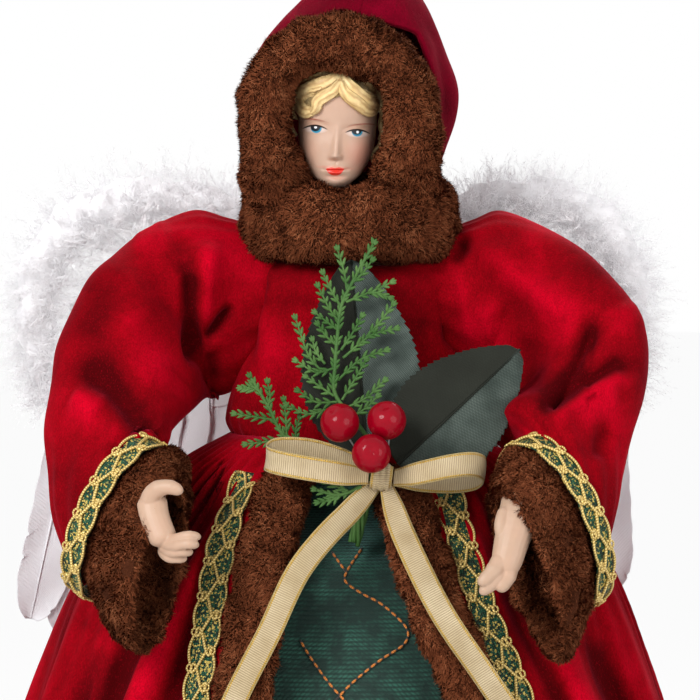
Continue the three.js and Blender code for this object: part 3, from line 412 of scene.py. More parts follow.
class Finish:
    """One material. Its coordinates are the piece's own place or its cloth, both in millimetres."""

    def __init__(self, name):
        self.material = bpy.data.materials.new(name)
        self.material.use_nodes = True
        self.tree = self.material.node_tree
        self.tree.nodes.clear()
        place = self.node("TexCoord", output="Object")
        self.place = self.node("VectorMath", {"operation": "SCALE"}, Vector=place, Scale=1 / MM)
        self.cloth = self.node("TexCoord", output="UV")

    def feed(self, socket, term):
        if isinstance(term, Value):
            self.tree.links.new(term.socket, socket)
        elif isinstance(term, (tuple, list)):
            size = len(socket.default_value)
            socket.default_value = (*term, 1.0)[:size] if size > len(term) else term[:size]
        else:
            socket.default_value = term

    def node(self, kind, settings=None, output=0, **inputs):
        made = self.tree.nodes.new("ShaderNode" + kind)
        for key, value in (settings or {}).items():
            setattr(made, key, value)
        for key, term in inputs.items():
            self.feed(made.inputs[key.replace("_", " ")], term)
        return Value(self, made.outputs[output])

    def parts(self, vector):
        split = self.tree.nodes.new("ShaderNodeSeparateXYZ")
        self.feed(split.inputs[0], vector)
        return [Value(self, socket) for socket in split.outputs]

    def stretched(self, share):
        """Places whose height is multiplied by share, which draws a pattern out or together along it."""
        return self.node("VectorMath", {"operation": "MULTIPLY"}, Vector=self.place).into(1, (1.0, 1.0, share))

    def noise(self, size, detail=2.0, rough=0.5, warp=0.0, vector=None):
        return self.node("TexNoise", Vector=vector or self.place, Scale=1 / size, Detail=detail, Roughness=rough,
                         Distortion=warp)

    def cells(self, size, output="Distance"):
        return self.node("TexVoronoi", output=output, Vector=self.place, Scale=1 / size)

    def mix(self, factor, a, b):
        made = self.tree.nodes.new("ShaderNodeMix")
        made.data_type = "RGBA"
        for place, term in ((0, factor), (6, a), (7, b)):
            self.feed(made.inputs[place], term)
        return Value(self, made.outputs[2])

    def bump(self, height, distance):
        """Height is a share of distance, which is in millimetres."""
        return self.node("Bump", Strength=1.0, Distance=distance * MM, Height=height)

    def surface(self, color, roughness, **inputs):
        shader = self.node("BsdfPrincipled", Base_Color=color, Roughness=roughness, **inputs)
        self.tree.links.new(shader.socket, self.tree.nodes.new("ShaderNodeOutputMaterial").inputs[0])
        return self.material


def velvet(name, deep, middle, lit):
    """Velvet on a fine rib with a short pile in slow random patches, painted dark as shade in its hollows and bright
    as highlight on its folds.
    """
    f = Finish(name)
    shade_and_nap = f.node("Attribute", {"attribute_name": "shade_and_nap"}, output=2)
    u, _, _ = f.parts(f.cloth)
    rib = (u * (2 * math.pi / 0.9)).sin() * 0.5 + 0.5
    patch = f.noise(13, 2, 0.55, 0.8)
    streak = f.noise(2.4, 3, 0.6, vector=f.stretched(0.35))
    pile = f.noise(0.4, 2, 0.65, vector=f.stretched(0.55))
    # How dark or bright the velvet is: painted shade in the hollows and painted highlight on the folds, with random
    # patches of the pile
    shade_and_brushing = shade_and_nap + (patch - 0.5) * 0.6
    color = f.mix(shade_and_brushing.above(0.3, 0.55), deep, middle)
    color = f.mix(shade_and_brushing.above(0.78, 0.5), color, lit)
    color = f.mix(((0.5 - streak) * 1.1).clamp(), color, deep)
    color = f.mix(((0.58 - pile) * 2.6).clamp() * 0.6, color, deep)
    color = f.mix(((pile - 0.56) * 3.0).clamp() * 0.5, color, lit)
    height = pile + streak * 0.5 + rib * 0.12
    return f.surface(color, 0.9, Sheen_Weight=0.35, Sheen_Roughness=0.3, Sheen_Tint=(1.0, 0.04, 0.1),
                     Specular_IOR_Level=0.05, Normal=f.bump(height, 0.2))


def chenille(name):
    """Ribbed green cloth: soft tufts along each rib, with painted shade in the gaps between them."""
    f = Finish(name)
    u, v, _ = f.parts(f.cloth)
    wander = f.noise(3.0, 2)
    across = (u + wander * 1.1) / 1.5
    rib = ((v / RIB_PITCH) * math.pi).sin().abs()
    tuft = (across * math.pi).sin().abs() ** 0.6
    shade = f.noise(7, 3, 0.65)
    fibre = f.noise(0.35, 2, 0.6)
    height = rib * 0.7 + tuft * 0.35 + fibre * 0.5
    color = f.mix(shade.above(0.54, 0.26), (0.003, 0.021, 0.014), (0.030, 0.145, 0.098))
    # Painted shade in the gaps between the ribs and the tufts
    color = f.mix((rib * tuft * 0.9 + fibre * 0.6 - 0.35).clamp(), (0.003, 0.02, 0.014), color)
    return f.surface(color, 0.8, Sheen_Weight=0.35, Sheen_Roughness=0.4, Sheen_Tint=(0.3, 0.8, 0.7),
                     Normal=f.bump(height, 0.35))


RIB_PITCH = 1.4
red_velvet = velvet("red velvet", (0.065, 0.0, 0.001), (0.31, 0.0, 0.005), (0.60, 0.0, 0.015))
hood_velvet = velvet("hood velvet", (0.05, 0.0, 0.003), (0.20, 0.0, 0.012), (0.32, 0.0, 0.022))
green_chenille = chenille("green chenille")

# Coat skirt: a gathered bell with broad folds, open at the front

HEM_HALF_WIDTH = 141
SKIRT_DEPTH_SHARE = 0.75
WAIST_Z = 257
HEM_LIFT = 1.5
VELVET_THICKNESS = 1.6
COAT_FOLDS, COAT_FOLD_LIFT, COAT_FOLD_LENGTH = 15, 4.6, 130
COAT_GATHERS, COAT_GATHER_LIFT = 61, 1.5
bell = profile([
    [0, 1], [0.2, 0.92], [0.39, 0.832], [0.56, 0.752], [0.72, 0.667],
    [0.821, 0.596], [0.868, 0.548], [0.934, 0.436], [0.98, 0.33], [1, 0.262],
])
left_edge = profile([[0, -0.567], [0.7, -0.316], [1, -0.3]])
right_edge = profile([[0, 0.65], [0.73, 0.355], [0.81, 0.28], [0.92, 0.23], [1, 0.22]])


def edge_angle(sign, z):
    return np.arcsin((left_edge if sign < 0 else right_edge)(z / WAIST_Z))


def coat_fold(angle, z):
    """How far the folds lift the coat: fine gathers at the waist that run out into broad folds."""
    below_waist = WAIST_Z - z
    near_edge = ease(np.minimum(angle - edge_angle(1, z), 2 * np.pi + edge_angle(-1, z) - angle) / 0.35)
    turn = angle * COAT_FOLDS + 1.3 * np.sin(2 * angle + 1) + 0.8 * np.sin(5 * angle + 2.2)
    broad = (np.cos(turn) + 0.3 * np.cos(2 * turn + 1)) * (0.75 + 0.25 * np.sin(3 * angle + 0.7))
    gathers = np.cos(angle * COAT_GATHERS + 2 * np.sin(7 * angle))
    gathers = gathers * ease(below_waist / 12) * np.exp(-below_waist / 34)
    fall = ease(below_waist / COAT_FOLD_LENGTH)
    return near_edge * (COAT_FOLD_LIFT * fall * broad + COAT_GATHER_LIFT * gathers)


def coat_point(angle, z, outward=0.0):
    radius = HEM_HALF_WIDTH * bell(z / WAIST_Z)
    fold = coat_fold(np.mod(angle, 2 * np.pi), z) + outward
    x, y = (radius + fold) * np.sin(angle), -(radius * SKIRT_DEPTH_SHARE + fold) * np.cos(angle)
    return np.stack([x, y, z], -1)


def make_coat_skirt():
    rows, columns = 120, 420
    share = np.linspace(0, 1, rows)[:, None]
    z = HEM_LIFT + (WAIST_Z - HEM_LIFT) * share + np.zeros((1, columns))
    s = np.linspace(0, 1, columns)[None, :]
    start, end = edge_angle(1, z), 2 * np.pi + edge_angle(-1, z)
    angle = start + (end - start) * s
    plain = coat_point(angle, z)
    outer, push = sculpt(plain, surface_normals(plain), COAT_STROKES)
    # Painted shade in the folds' hollows and painted highlight on their crests, from the strokes and the folds' lift
    shade_and_nap = fold_shade_and_nap(outer * [1, 1, 0.4], push + 0.4 * coat_fold(np.mod(angle, 2 * np.pi), z), 6)
    shape = Shape()
    shape.cloth(outer, VELVET_THICKNESS, cloth_places(outer), shade_and_nap=shade_and_nap)
    piece = shape.make("coat_skirt", [red_velvet])
    settle(piece, "angel", "velvet", "skirt_left", "skirt_right", "skirt_back")


def fold_shade_and_nap(points, push, seed):
    """Painted shade in the hollows and painted highlight on the folds, with slow random changes of the pile between
    them.
    """
    return np.clip(0.5 + 0.19 * np.clip(push, -3.5, 3) + 0.18 * drift(points, 32, seed), 0, 1)


# Folds drawn on the photograph, and on below its lower edge
COAT_STROKES = [
    ([(236, 436), (205, 500), (160, 585), (120, 660), (94, 722), (58, 820), (30, 930)], 3.4, 4.6, 1.2),
    ([(238, 470), (224, 540), (206, 610), (178, 680), (160, 722), (130, 820), (108, 930)], 3.4, 4.2, -0.8),
    ([(222, 450), (192, 500), (160, 552)], 2.4, 3.2, 0.0),
    ([(228, 500), (184, 590), (142, 690), (104, 800)], 5.0, -2.2, 0.0),
    ([(104, 640), (86, 682), (72, 722), (50, 800), (34, 880)], 2.8, 3.2, 0.4),
    ([(486, 470), (496, 540), (522, 620), (566, 712), (600, 820), (622, 930)], 3.0, 3.8, 0.8),
    ([(512, 600), (548, 650), (590, 712), (640, 820)], 4.5, -2.0, 0.0),
    ([(572, 606), (600, 656), (628, 716), (664, 820), (688, 930)], 3.4, 3.6, -0.4),
    ([(612, 560), (642, 620), (674, 704), (704, 800)], 3.0, 2.2, 0.0),
]
make_coat_skirt()

# Underskirt, which shows in the coat's opening

PETTICOAT_HEIGHT = 235.5
PETTICOAT_HALF_WIDTH = 127.6
WAISTBAND_TOP = 251.5
PETTICOAT_THICKNESS = 1.5
PETTICOAT_FOLDS = 9
petticoat = profile([[0, 1], [0.25, 0.895], [0.5, 0.77], [0.7, 0.655], [0.86, 0.545], [0.94, 0.45], [1, 0.23]])


def petticoat_share(z):
    return (z - HEM_LIFT) / (PETTICOAT_HEIGHT - HEM_LIFT)


def petticoat_point(turn, z, outward=0.0):
    share = np.minimum(petticoat_share(z), 1)
    reach = PETTICOAT_HALF_WIDTH * petticoat(share)
    fold = 1.6 * (1 - share) * np.cos(turn * PETTICOAT_FOLDS) + outward
    depth = SKIRT_DEPTH_SHARE + 0.14 * ease((z - PETTICOAT_HEIGHT + 5) / 9)
    return np.stack([(reach + fold) * np.sin(turn), -(reach * depth + fold) * np.cos(turn), z], -1)


def make_underskirt():
    rows, columns = 360, 240
    z = np.linspace(HEM_LIFT, WAISTBAND_TOP, rows)[:, None] + np.zeros((1, columns))
    turn = np.linspace(0, 2 * np.pi, columns, endpoint=False)[None, :] + np.zeros((rows, 1))
    plain = petticoat_point(turn, z)
    places = cloth_places(plain, loop=True)
    rib = np.abs(np.sin(places[:, :1, 1] / RIB_PITCH * math.pi))
    outer = petticoat_point(turn, z, 0.3 * rib)
    shape = Shape()
    shape.cloth(outer, PETTICOAT_THICKNESS, places, loop=True)
    piece = settle(shape.make("green_underskirt", [green_chenille]), "angel", "underskirt", "underskirt")


make_underskirt()

# Couched threads on the underskirt, in pixels of the photograph
STITCH_PITCH = 2.5
STITCH_LENGTH = 1.7
THREAD_LINES = [
    [(362, 548), (347, 571), (346, 582), (363, 594), (380, 603), (399, 619), (408, 632), (403, 645), (379, 661),
     (352, 683), (334, 702)],
    [(300, 640), (311, 658), (329, 683), (346, 702)],
    [(332, 552), (346, 572)],
]


def thread_finish(name, dark, pale):
    f = Finish(name)
    u, v, _ = f.parts(f.cloth)
    twist = ((u / 0.6 + v) * (2 * math.pi)).sin() * 0.5 + 0.5
    return f.surface(f.mix(twist, dark, pale), 0.6, Sheen_Weight=0.2, Normal=f.bump(twist, 0.1))


def on_petticoat(line, outward):
    """A line drawn on the photograph, laid on the underskirt."""
    at = spline(line)(np.linspace(0, 1, 16 * len(line)))
    y = np.full(len(at), -70.0)
    for _ in range(8):
        x, _, z = from_photo(at, y).T
        reach = PETTICOAT_HALF_WIDTH * petticoat(petticoat_share(z))
        y = petticoat_point(np.arcsin(np.clip(x / reach, -1, 1)), z, outward)[:, 1]
    return from_photo(at, y)


def couched_threads():
    """A dark cord held down by short orange stitches."""
    shape = Shape()
    for line in THREAD_LINES:
        path = on_petticoat(line, 0.55)
        shape.tube(path, 0.32, 6)
        run = run_along(path)
        for start in np.arange(0.8, run[-1] - 2, STITCH_PITCH):
            stitch = read_along(start + np.linspace(0, STITCH_LENGTH, 9), run, path)
            stitch[:, 1] -= 0.22
            shape.tube(stitch, 0.4 * np.sin(np.pi * np.linspace(0.12, 0.88, 9)) ** 0.5, 7, slot=1)
    dark = thread_finish("black cord", (0.006, 0.006, 0.005), (0.03, 0.028, 0.022))
    orange = thread_finish("orange thread", (0.38, 0.08, 0.004), (0.80, 0.28, 0.03))
    settle(shape.make("couched_threads", [dark, orange]), "angel", "underskirt")


couched_threads()

# Bodice

BODICE_FOOT_Z, BODICE_HEIGHT = 252, 58
BODICE_HALF_WIDTH, BODICE_HALF_DEPTH = 34.6, 25.6
BODICE_THICKNESS = 1.5
BODICE_GATHERS = 34
BODICE_SIDE_FLARE = 4.2
torso = profile([[0, 1], [0.15, 0.985], [0.45, 0.93], [0.75, 0.88], [0.92, 0.86], [1, 0.74]])


def make_bodice():
    rows, columns = 70, 200
    share = np.linspace(0, 1, rows)[:, None]
    turn = np.linspace(0, 2 * np.pi, columns, endpoint=False)[None, :]
    z = BODICE_FOOT_Z + BODICE_HEIGHT * share + 0 * turn
    width = torso(share)
    outer = np.stack([BODICE_HALF_WIDTH * width * np.sin(turn), -BODICE_HALF_DEPTH * width * np.cos(turn), z], -1)
    normals = surface_normals(outer, loop=True)
    gathers = 0.5 * np.cos(turn * BODICE_GATHERS + 2 * np.sin(3 * turn)) * hill(share, 0, 0.25)
    outer = outer + normals * (gathers + 0.5 * drift(outer * [1, 1, 0.6], 22, 4))[..., None]
    flare = BODICE_SIDE_FLARE * np.abs(np.sin(turn)) ** 5 * ease(share * 6) * ease(1.25 - share * 1.6)
    outer = outer + [1, 0.35, 0] * np.sign(outer) * flare[..., None]
    outer, push = sculpt(outer, normals, BODICE_STROKES)
    # Painted shade in the hollows and painted highlight on the folds, turned down a little over the whole bodice
    shade_and_nap = fold_shade_and_nap(outer, push, 15) * 0.8
    shape = Shape()
    shape.cloth(outer, BODICE_THICKNESS, cloth_places(outer, loop=True), loop=True, shade_and_nap=shade_and_nap)
    piece = settle(shape.make("velvet_bodice", [red_velvet]), "angel", "velvet", "bodice")


BODICE_STROKES = [
    ([(256, 250), (259, 285), (251, 320), (248, 372)], 2.2, 2.2, 0.0),
    ([(452, 262), (453, 305), (450, 356)], 2.2, 2.2, 0.0),
    ([(268, 300), (274, 350), (268, 410)], 4.5, -1.3, 0.0),
    ([(300, 262), (360, 268), (420, 262)], 2.4, 1.0, 0.0),
    ([(425, 300), (428, 350), (424, 400)], 4.0, 0.9, 0.0),
]
make_bodice()

# Sleeves: puffed at the shoulder, with deep folds. Rows are centre, half axis outwards and half axis forwards,
# in shares of the sleeve's length: out, forward, down.

SLEEVE_LENGTH = 100
ARM_SHARES = {
    "left": [
        [[0.035, 0, 0], [0.035, 0, -0.165], [0, 0.15, 0]],
        [[0.15, 0.01, 0.01], [0.04, 0, -0.2], [0, 0.19, 0]],
        [[0.24, 0.04, 0.07], [0.13, 0.01, -0.175], [0.02, 0.19, -0.05]],
        [[0.32, 0.14, 0.16], [0.19, 0.01, -0.1], [0.02, 0.17, -0.12]],
        [[0.38, 0.25, 0.29], [0.21, 0, -0.05], [0.02, 0.14, -0.13]],
        [[0.41, 0.37, 0.42], [0.19, -0.02, 0.01], [0.03, 0.12, -0.12]],
        [[0.415, 0.49, 0.54], [0.17, -0.04, 0.08], [0.05, 0.11, -0.09]],
        [[0.4, 0.59, 0.69], [0.09, -0.03, 0.22], [0.09, 0.11, 0]],
    ],
    "right": [
        [[0.035, 0, 0], [0.035, 0, -0.165], [0, 0.15, 0]],
        [[0.13, 0.01, 0.005], [0.04, 0, -0.195], [0, 0.19, 0]],
        [[0.22, 0.04, 0.05], [0.12, 0.01, -0.175], [0.02, 0.19, -0.05]],
        [[0.3, 0.14, 0.14], [0.18, 0.01, -0.12], [0.02, 0.17, -0.12]],
        [[0.38, 0.25, 0.25], [0.19, 0, -0.06], [0.02, 0.14, -0.13]],
        [[0.385, 0.37, 0.39], [0.175, -0.02, -0.01], [0.02, 0.12, -0.12]],
        [[0.36, 0.49, 0.52], [0.14, -0.04, 0.08], [0.03, 0.11, -0.09]],
        [[0.32, 0.59, 0.71], [0.08, -0.03, 0.24], [0.11, 0.11, 0]],
    ],
}
CUFF_SHARES = {
    "left": [
        [[0.31, 0.68, 0.765], [0.075, -0.02, 0.27], [0.085, 0.135, -0.01]],
        [[0.275, 0.73, 0.83], [0.05, -0.01, 0.27], [0.07, 0.145, -0.01]],
    ],
    "right": [
        [[0.275, 0.67, 0.785], [0.085, -0.02, 0.27], [0.09, 0.13, -0.01]],
        [[0.24, 0.73, 0.85], [0.085, -0.01, 0.265], [0.07, 0.145, 0]],
    ],
}
SIDES = {"left": -1, "right": 1}
ARM_ROOT = np.array([31, 3, 306])
# How many gathers a sleeve has at the shoulder and at the wrist
SHOULDER_GATHERS, WRIST_GATHERS = 17, 13


def arm_place(sign, shares):
    """A place on an arm, from shares of the sleeve's length out, forward and down."""
    out, forward, down = np.moveaxis(np.asarray(shares, float), -1, 0) * SLEEVE_LENGTH
    return np.stack([sign * (ARM_ROOT[0] + out), ARM_ROOT[1] - forward, ARM_ROOT[2] - down], -1)


def arm_way(sign, shares):
    out, forward, down = np.moveaxis(np.asarray(shares, float), -1, 0) * SLEEVE_LENGTH
    return np.stack([sign * out, -forward, -down], -1)


def make_sleeve(name, sign):
    rows, columns = 190, 300
    shares = np.array([[[-0.1, 0, 0.01], [0.03, 0, -0.14], [0, 0.13, 0]]] + ARM_SHARES[name])
    t = np.linspace(0, 1, rows)
    turn = np.linspace(0, 2 * np.pi, columns, endpoint=False)[None, :]
    centre = spline(arm_place(sign, shares[:, 0]))(t)[:, None]
    outer_way = spline(arm_way(sign, shares[:, 1]))(t)[:, None]
    front_way = spline(arm_way(sign, shares[:, 2]))(t)[:, None]
    rise = t[:, None]
    outside, inside = np.clip(np.cos(turn), 0, 1), np.clip(-np.cos(turn), 0, 1)
    gathers = 0.03 * (1 - ease(rise * 2.5)) * np.cos(turn * SHOULDER_GATHERS + 2 * np.sin(turn * 3))
    puff = 0.05 * np.sin(np.pi * rise) * np.cos(turn * 3 + 5 * rise)
    wrist = 0.03 * ease(rise * 4 - 3) * np.cos(turn * WRIST_GATHERS + 1.5 * np.sin(turn * 2))
    droop, lowest, elbow, crook = SLEEVE_FULLNESS[name]
    bend = elbow * outside * hill(rise, 0.68, 0.13) + crook * inside * hill(rise, 0.79, 0.13)
    hang = droop * inside**1.5 * hill(rise, lowest, 0.2)
    size = (1 + gathers + puff + wrist + bend)[..., None]
    outer = centre + (outer_way * np.cos(turn)[..., None] + front_way * np.sin(turn)[..., None]) * size
    underarm = UNDERARM_HANG * inside**1.2 * hill(rise, 0.17, 0.13)
    outer = outer + arm_way(sign, [0.02, 0, 1]) * (hang + underarm)[..., None]
    outer = relax(outer, 12, 0.9 * (1 - ease(rise * 2.6 - 1.0))[..., None])
    if ((outer - centre) * surface_normals(outer, loop=True)).sum() < 0:
        outer = outer[:, ::-1]
    normals = surface_normals(outer, loop=True)
    outer = outer + normals * (0.7 * drift(outer, 26, 8))[..., None]
    outer, push = sculpt(outer, normals, SLEEVE_STROKES[name])
    # Painted shade in the hollows and painted highlight on the folds
    shade_and_nap = fold_shade_and_nap(outer, push, 11 + sign)
    shape = Shape()
    shape.cloth(outer, VELVET_THICKNESS, cloth_places(outer, loop=True), loop=True, shade_and_nap=shade_and_nap)
    piece = shape.make(name + "_velvet_sleeve", [red_velvet])
    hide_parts(name + "_sleeve")
    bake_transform(piece)


# How far a sleeve hangs down below, where along the arm, and how far it stands out at the elbow and inside it
SLEEVE_FULLNESS = {"left": (0.12, 0.4, 0.0, 0.0), "right": (0.16, 0.5, 0.17, 0.5)}
UNDERARM_HANG = 0.15
SLEEVE_STROKES = {
    "left": [
        ([(186, 256), (191, 280), (192, 315), (192, 345), (193, 370)], 2.8, 4.6, 0.8),
        ([(182, 228), (180, 248), (187, 274)], 4.2, 1.6, 0.0),
        ([(212, 236), (208, 268), (204, 300), (199, 336)], 3.4, -2.0, 0.0),
        ([(236, 304), (222, 320), (206, 344)], 1.7, 3.0, 0.0),
        ([(208, 352), (214, 366), (214, 386)], 2.4, 1.8, 0.0),
        ([(64, 360), (88, 372), (110, 386), (130, 405), (144, 426), (138, 462)], 5.5, 3.6, 0.8),
        ([(70, 396), (88, 403), (104, 412)], 5.0, -2.0, 0.0),
        ([(118, 300), (140, 335), (156, 370), (162, 392)], 7.5, -2.0, 0.0),
        ([(118, 268), (96, 310), (84, 348)], 5.5, 1.2, 0.0),
        ([(128, 240), (150, 232), (170, 222)], 5.0, -1.2, 0.0),
    ],
    "right": [
        ([(462, 230), (463, 246), (452, 266)], 2.4, 2.6, 0.0),
        ([(456, 262), (464, 300), (472, 350)], 2.6, -1.0, 0.0),
        ([(470, 250), (500, 262), (532, 288), (556, 306), (584, 306)], 4.6, -2.4, 0.0),
        ([(480, 300), (500, 330), (506, 360)], 5.5, -1.2, 0.0),
        ([(528, 330), (524, 362), (530, 396)], 5.0, 1.6, 0.0),
        ([(598, 308), (578, 350), (562, 386), (545, 406)], 3.2, 5.0, 0.8),
        ([(644, 370), (617, 368), (592, 380), (567, 396), (536, 419)], 2.6, 2.6, -2.2),
        ([(618, 340), (630, 320), (622, 300)], 5.0, -1.2, 0.0),
        ([(620, 392), (596, 404), (572, 420)], 4.2, -1.8, 0.0),
        ([(612, 420), (602, 440), (598, 462)], 3.0, 2.0, 0.0),
    ],
}
for name, sign in SIDES.items():
    make_sleeve(name, sign)

# Hood: a pointed velvet shell, open at the face

HOOD_FOOT_Z = 337.4
HOOD_HEIGHT = 68.4
HOOD_HALF_WIDTH = 33
HOOD_CENTRE_Y = 9
HOOD_FACE_Y = -10.5
# Rows of height, half width, half depth and lean, in shares of the hood's height and half width
HOOD_ROWS = np.array([
    [-0.1, 0.72, 0.8, -0.03], [0, 0.82, 0.86, -0.02], [0.12, 0.91, 0.93, -0.01], [0.24, 0.98, 0.98, 0],
    [0.36, 1, 1, 0.006], [0.53, 0.9, 0.97, 0.012], [0.65, 0.77, 0.87, 0.055], [0.77, 0.59, 0.7, 0.127],
    [0.88, 0.38, 0.46, 0.18], [0.965, 0.16, 0.2, 0.21], [1, 0.04, 0.05, 0.215],
])


def make_hood():
    rows, columns = 90, 150
    share = np.linspace(0, 1, rows)
    width, depth, lean = (profile(HOOD_ROWS[:, [0, k]])(share) for k in (1, 2, 3))
    reach_y = np.maximum(HOOD_HALF_WIDTH * depth, 0.5)
    to_face = HOOD_CENTRE_Y - HOOD_FACE_Y
    opening = np.arccos(np.clip(to_face / reach_y, -1, 1))
    opening = np.where(reach_y > to_face, opening, 0) * ease((0.72 - share) / 0.1)
    opening = opening[:, None]
    s = np.linspace(0, 1, columns)[None, :]
    turn = opening + (2 * np.pi - 2 * opening) * s
    x = lean[:, None] * HOOD_HALF_WIDTH + np.maximum(HOOD_HALF_WIDTH * width, 0.6)[:, None] * np.sin(turn)
    y = HOOD_CENTRE_Y - reach_y[:, None] * np.cos(turn)
    outer = np.stack([x, y, HOOD_FOOT_Z + HOOD_HEIGHT * share[:, None] + 0 * turn], -1)
    normals = surface_normals(outer)
    from_edge = ease(np.minimum(s, 1 - s) * 4)
    gathers = 0.5 * np.cos(turn * 9) * hill(share[:, None], 0, 0.25)
    outer = outer + normals * (from_edge * (0.9 * drift(outer * [1, 1, 0.5], 20, 5) + gathers))[..., None]
    outer, push = sculpt(outer, normals, HOOD_STROKES)
    shape = Shape()
    # Painted shade in the hollows and painted highlight on the folds, turned down a little over the whole hood
    shape.cloth(outer, VELVET_THICKNESS, cloth_places(outer), shade_and_nap=fold_shade_and_nap(outer, push, 19) * 0.85)
    piece = settle(shape.make("velvet_hood", [hood_velvet]), "angel", "velvet", "hood")


HOOD_STROKES = [
    ([(300, 10), (275, 26), (258, 50)], 2.6, -1.0, 0.0),
    ([(436, 10), (452, 50), (458, 100), (452, 150)], 2.2, -1.0, 0.0),
    ([(420, 8), (440, 44), (449, 92), (448, 140)], 1.8, 1.2, 0.0),
]
make_hood()

# Fur: a knitted base under a short plush pile

FUR_SHADES = {
    "one": (0.098, 0.026, 0.010), "two": (0.168, 0.046, 0.018),
    "three": (0.242, 0.071, 0.028), "four": (0.355, 0.125, 0.054),
}


def fur_base_finish():
    f = Finish("fur base")
    patch = f.noise(7, 3, 0.6).above(0.5, 0.4)
    strands = f.noise(0.5, 3, 0.7)
    color = f.mix(patch, (0.045, 0.013, 0.006), (0.09, 0.027, 0.012))
    return f.surface(color, 0.95, Specular_IOR_Level=0.02, Normal=f.bump(strands, 0.6))


fur_finishes = [Finish("fur strand " + number).surface(shade, 0.8, Specular_IOR_Level=0.05)
                for number, shade in FUR_SHADES.items()]
fur_base = fur_base_finish()
PILE_DENSITY = 7
PILE_LENGTH, PILE_WIDTH = 2.1, 0.29
MOST_STRANDS = 60000
CUFF_STRANDS = 55000


def pull(points, size, seed):
    """Smooth random directions that lean towards the tops of a field of small hills."""
    rng = np.random.default_rng(seed)
    way = unit(rng.normal(size=(WAVES, 3))) / rng.uniform(0.7, 1.6, WAVES)[:, None]
    swing = np.cos(points @ (way * 2 * np.pi / size).T + rng.uniform(0, 2 * np.pi, WAVES))
    return swing @ way * 0.9 / math.sqrt(WAVES / 2)


def scatter(points, normals, count, rng, weight=None):
    """Random places on a tube of closed sections, with their normals."""
    points, normals = (np.concatenate([g, g[:, :1]], 1) for g in (points, normals))
    a, b, c, d = points[:-1, :-1], points[:-1, 1:], points[1:, 1:], points[1:, :-1]
    area = np.linalg.norm(np.cross(c - a, d - b), axis=-1) / 2
    if weight is not None:
        area = area * weight[:-1]
    total = np.cumsum(area.ravel())
    picked = np.searchsorted(total, rng.random(count) * total[-1])
    i, j = np.unravel_index(np.minimum(picked, area.size - 1), area.shape)
    u, v = rng.random((2, count, 1))

    def between(g):
        low = g[i, j] * (1 - u) * (1 - v) + g[i, j + 1] * u * (1 - v)
        return low + g[i + 1, j] * (1 - u) * v + g[i + 1, j + 1] * u * v

    return between(points), unit(between(normals))


def strands(shape, points, slots=0):
    """Adds thin strands of five points each: two at the root, two in the middle and the tip."""
    count = len(points)
    first = np.arange(count)[:, None] * 5
    shape.add(points, first + [0, 1, 3, 2], slot=slots)
    shape.add(np.zeros((0, 3)), first - count * 5 + [2, 3, 4], slot=slots)


def fur_pile(name, roots, normals, seed, length=PILE_LENGTH, lay=(0, 0, -0.3)):
    """Curved strands that stand on their roots and gather in small tufts."""
    rng = np.random.default_rng(seed)
    count = len(roots)
    lay = np.broadcast_to(np.asarray(lay, float), roots.shape)
    tufts = 0.25 * pull(roots, 2.2, seed + 1) + 0.3 * pull(roots, 7, seed + 2) + 0.3 * pull(roots, 18, seed + 3)
    lean = tufts + lay
    lean = lean - normals * (lean * normals).sum(-1, keepdims=True)
    first = unit(normals * 0.85 + lean * 0.9 + rng.normal(0, 0.3, roots.shape))
    second = unit(first * 0.5 + lean * 1.1 + rng.normal(0, 0.6, roots.shape))
    reach = length * rng.uniform(0.7, 1.12, (count, 1)) * (1 + 0.22 * drift(roots, 6, seed + 4))[:, None]
    middle = roots + first * reach * 0.55
    tip = middle + second * reach * 0.5
    side = unit(np.cross(first, normals) + rng.normal(0, 0.3, roots.shape))
    half = side * PILE_WIDTH / 2
    points = np.stack([roots - half, roots + half, middle - half * 0.85, middle + half * 0.85, tip], 1)
    face = np.cross(points[:, 1] - points[:, 0], points[:, 2] - points[:, 0])
    turned = (face * normals).sum(-1) < 0
    points[turned] = points[turned][:, [1, 0, 3, 2, 4]]
    patches = 0.6 * drift(roots, 8, seed + 5) + 0.45 * drift(roots, 2.6, seed + 6)
    tone = 1.35 + patches + rng.normal(0, 0.65, count)
    shape = Shape()
    strands(shape, points, np.clip(np.round(tone), 0, 3).astype(int))
    soft = unit(normals * 0.85 + first * 0.45)
    return shape.make(name, fur_finishes, normals=np.repeat(soft, 5, axis=0))


def lumpy(points, normals, size, height, seed):
    """Raises a surface in soft lumps."""
    lift = height * drift(points, size, seed) + 0.4 * height * drift(points, size * 0.4, seed + 9)
    return points + normals * lift[..., None]


def fur_roll(name, node, rows, seed, joined=False, pile_weight=None, **pile):
    """A roll of fur through closed sections, with its pile."""
    if joined:
        rows = np.concatenate([rows, rows[:1]])
    middle = rows.mean(1, keepdims=True)
    normals = surface_normals(rows, loop=True)
    if ((rows - middle) * normals).sum() < 0:
        rows, normals = rows[:, ::-1], -normals[:, ::-1]
        pile_weight = None if pile_weight is None else pile_weight[:, ::-1]
    rows = lumpy(rows, normals, 9, 0.7, seed)
    shape = Shape()
    if joined:
        shape.grid(rows, cloth_places(rows, loop=True), loop=True)
    else:
        shape.solid(rows, cloth_places(rows, loop=True))
    base = settle(shape.make(name, [fur_base]), "angel", "fur", node)
    area = np.linalg.norm(np.cross(np.roll(rows, -1, 1)[:-1] - rows[:-1], rows[1:] - rows[:-1]), axis=-1).sum()
    count = int(min(area * PILE_DENSITY, MOST_STRANDS))
    roots, ways = scatter(rows, normals, count, np.random.default_rng(seed), pile_weight)
    settle(fur_pile(name + "_pile", roots, ways, seed, **pile), "angel", "fur")
    return base


TRIM_HALF_WIDTH, TRIM_HALF_DEPTH = 8.2, 2.9


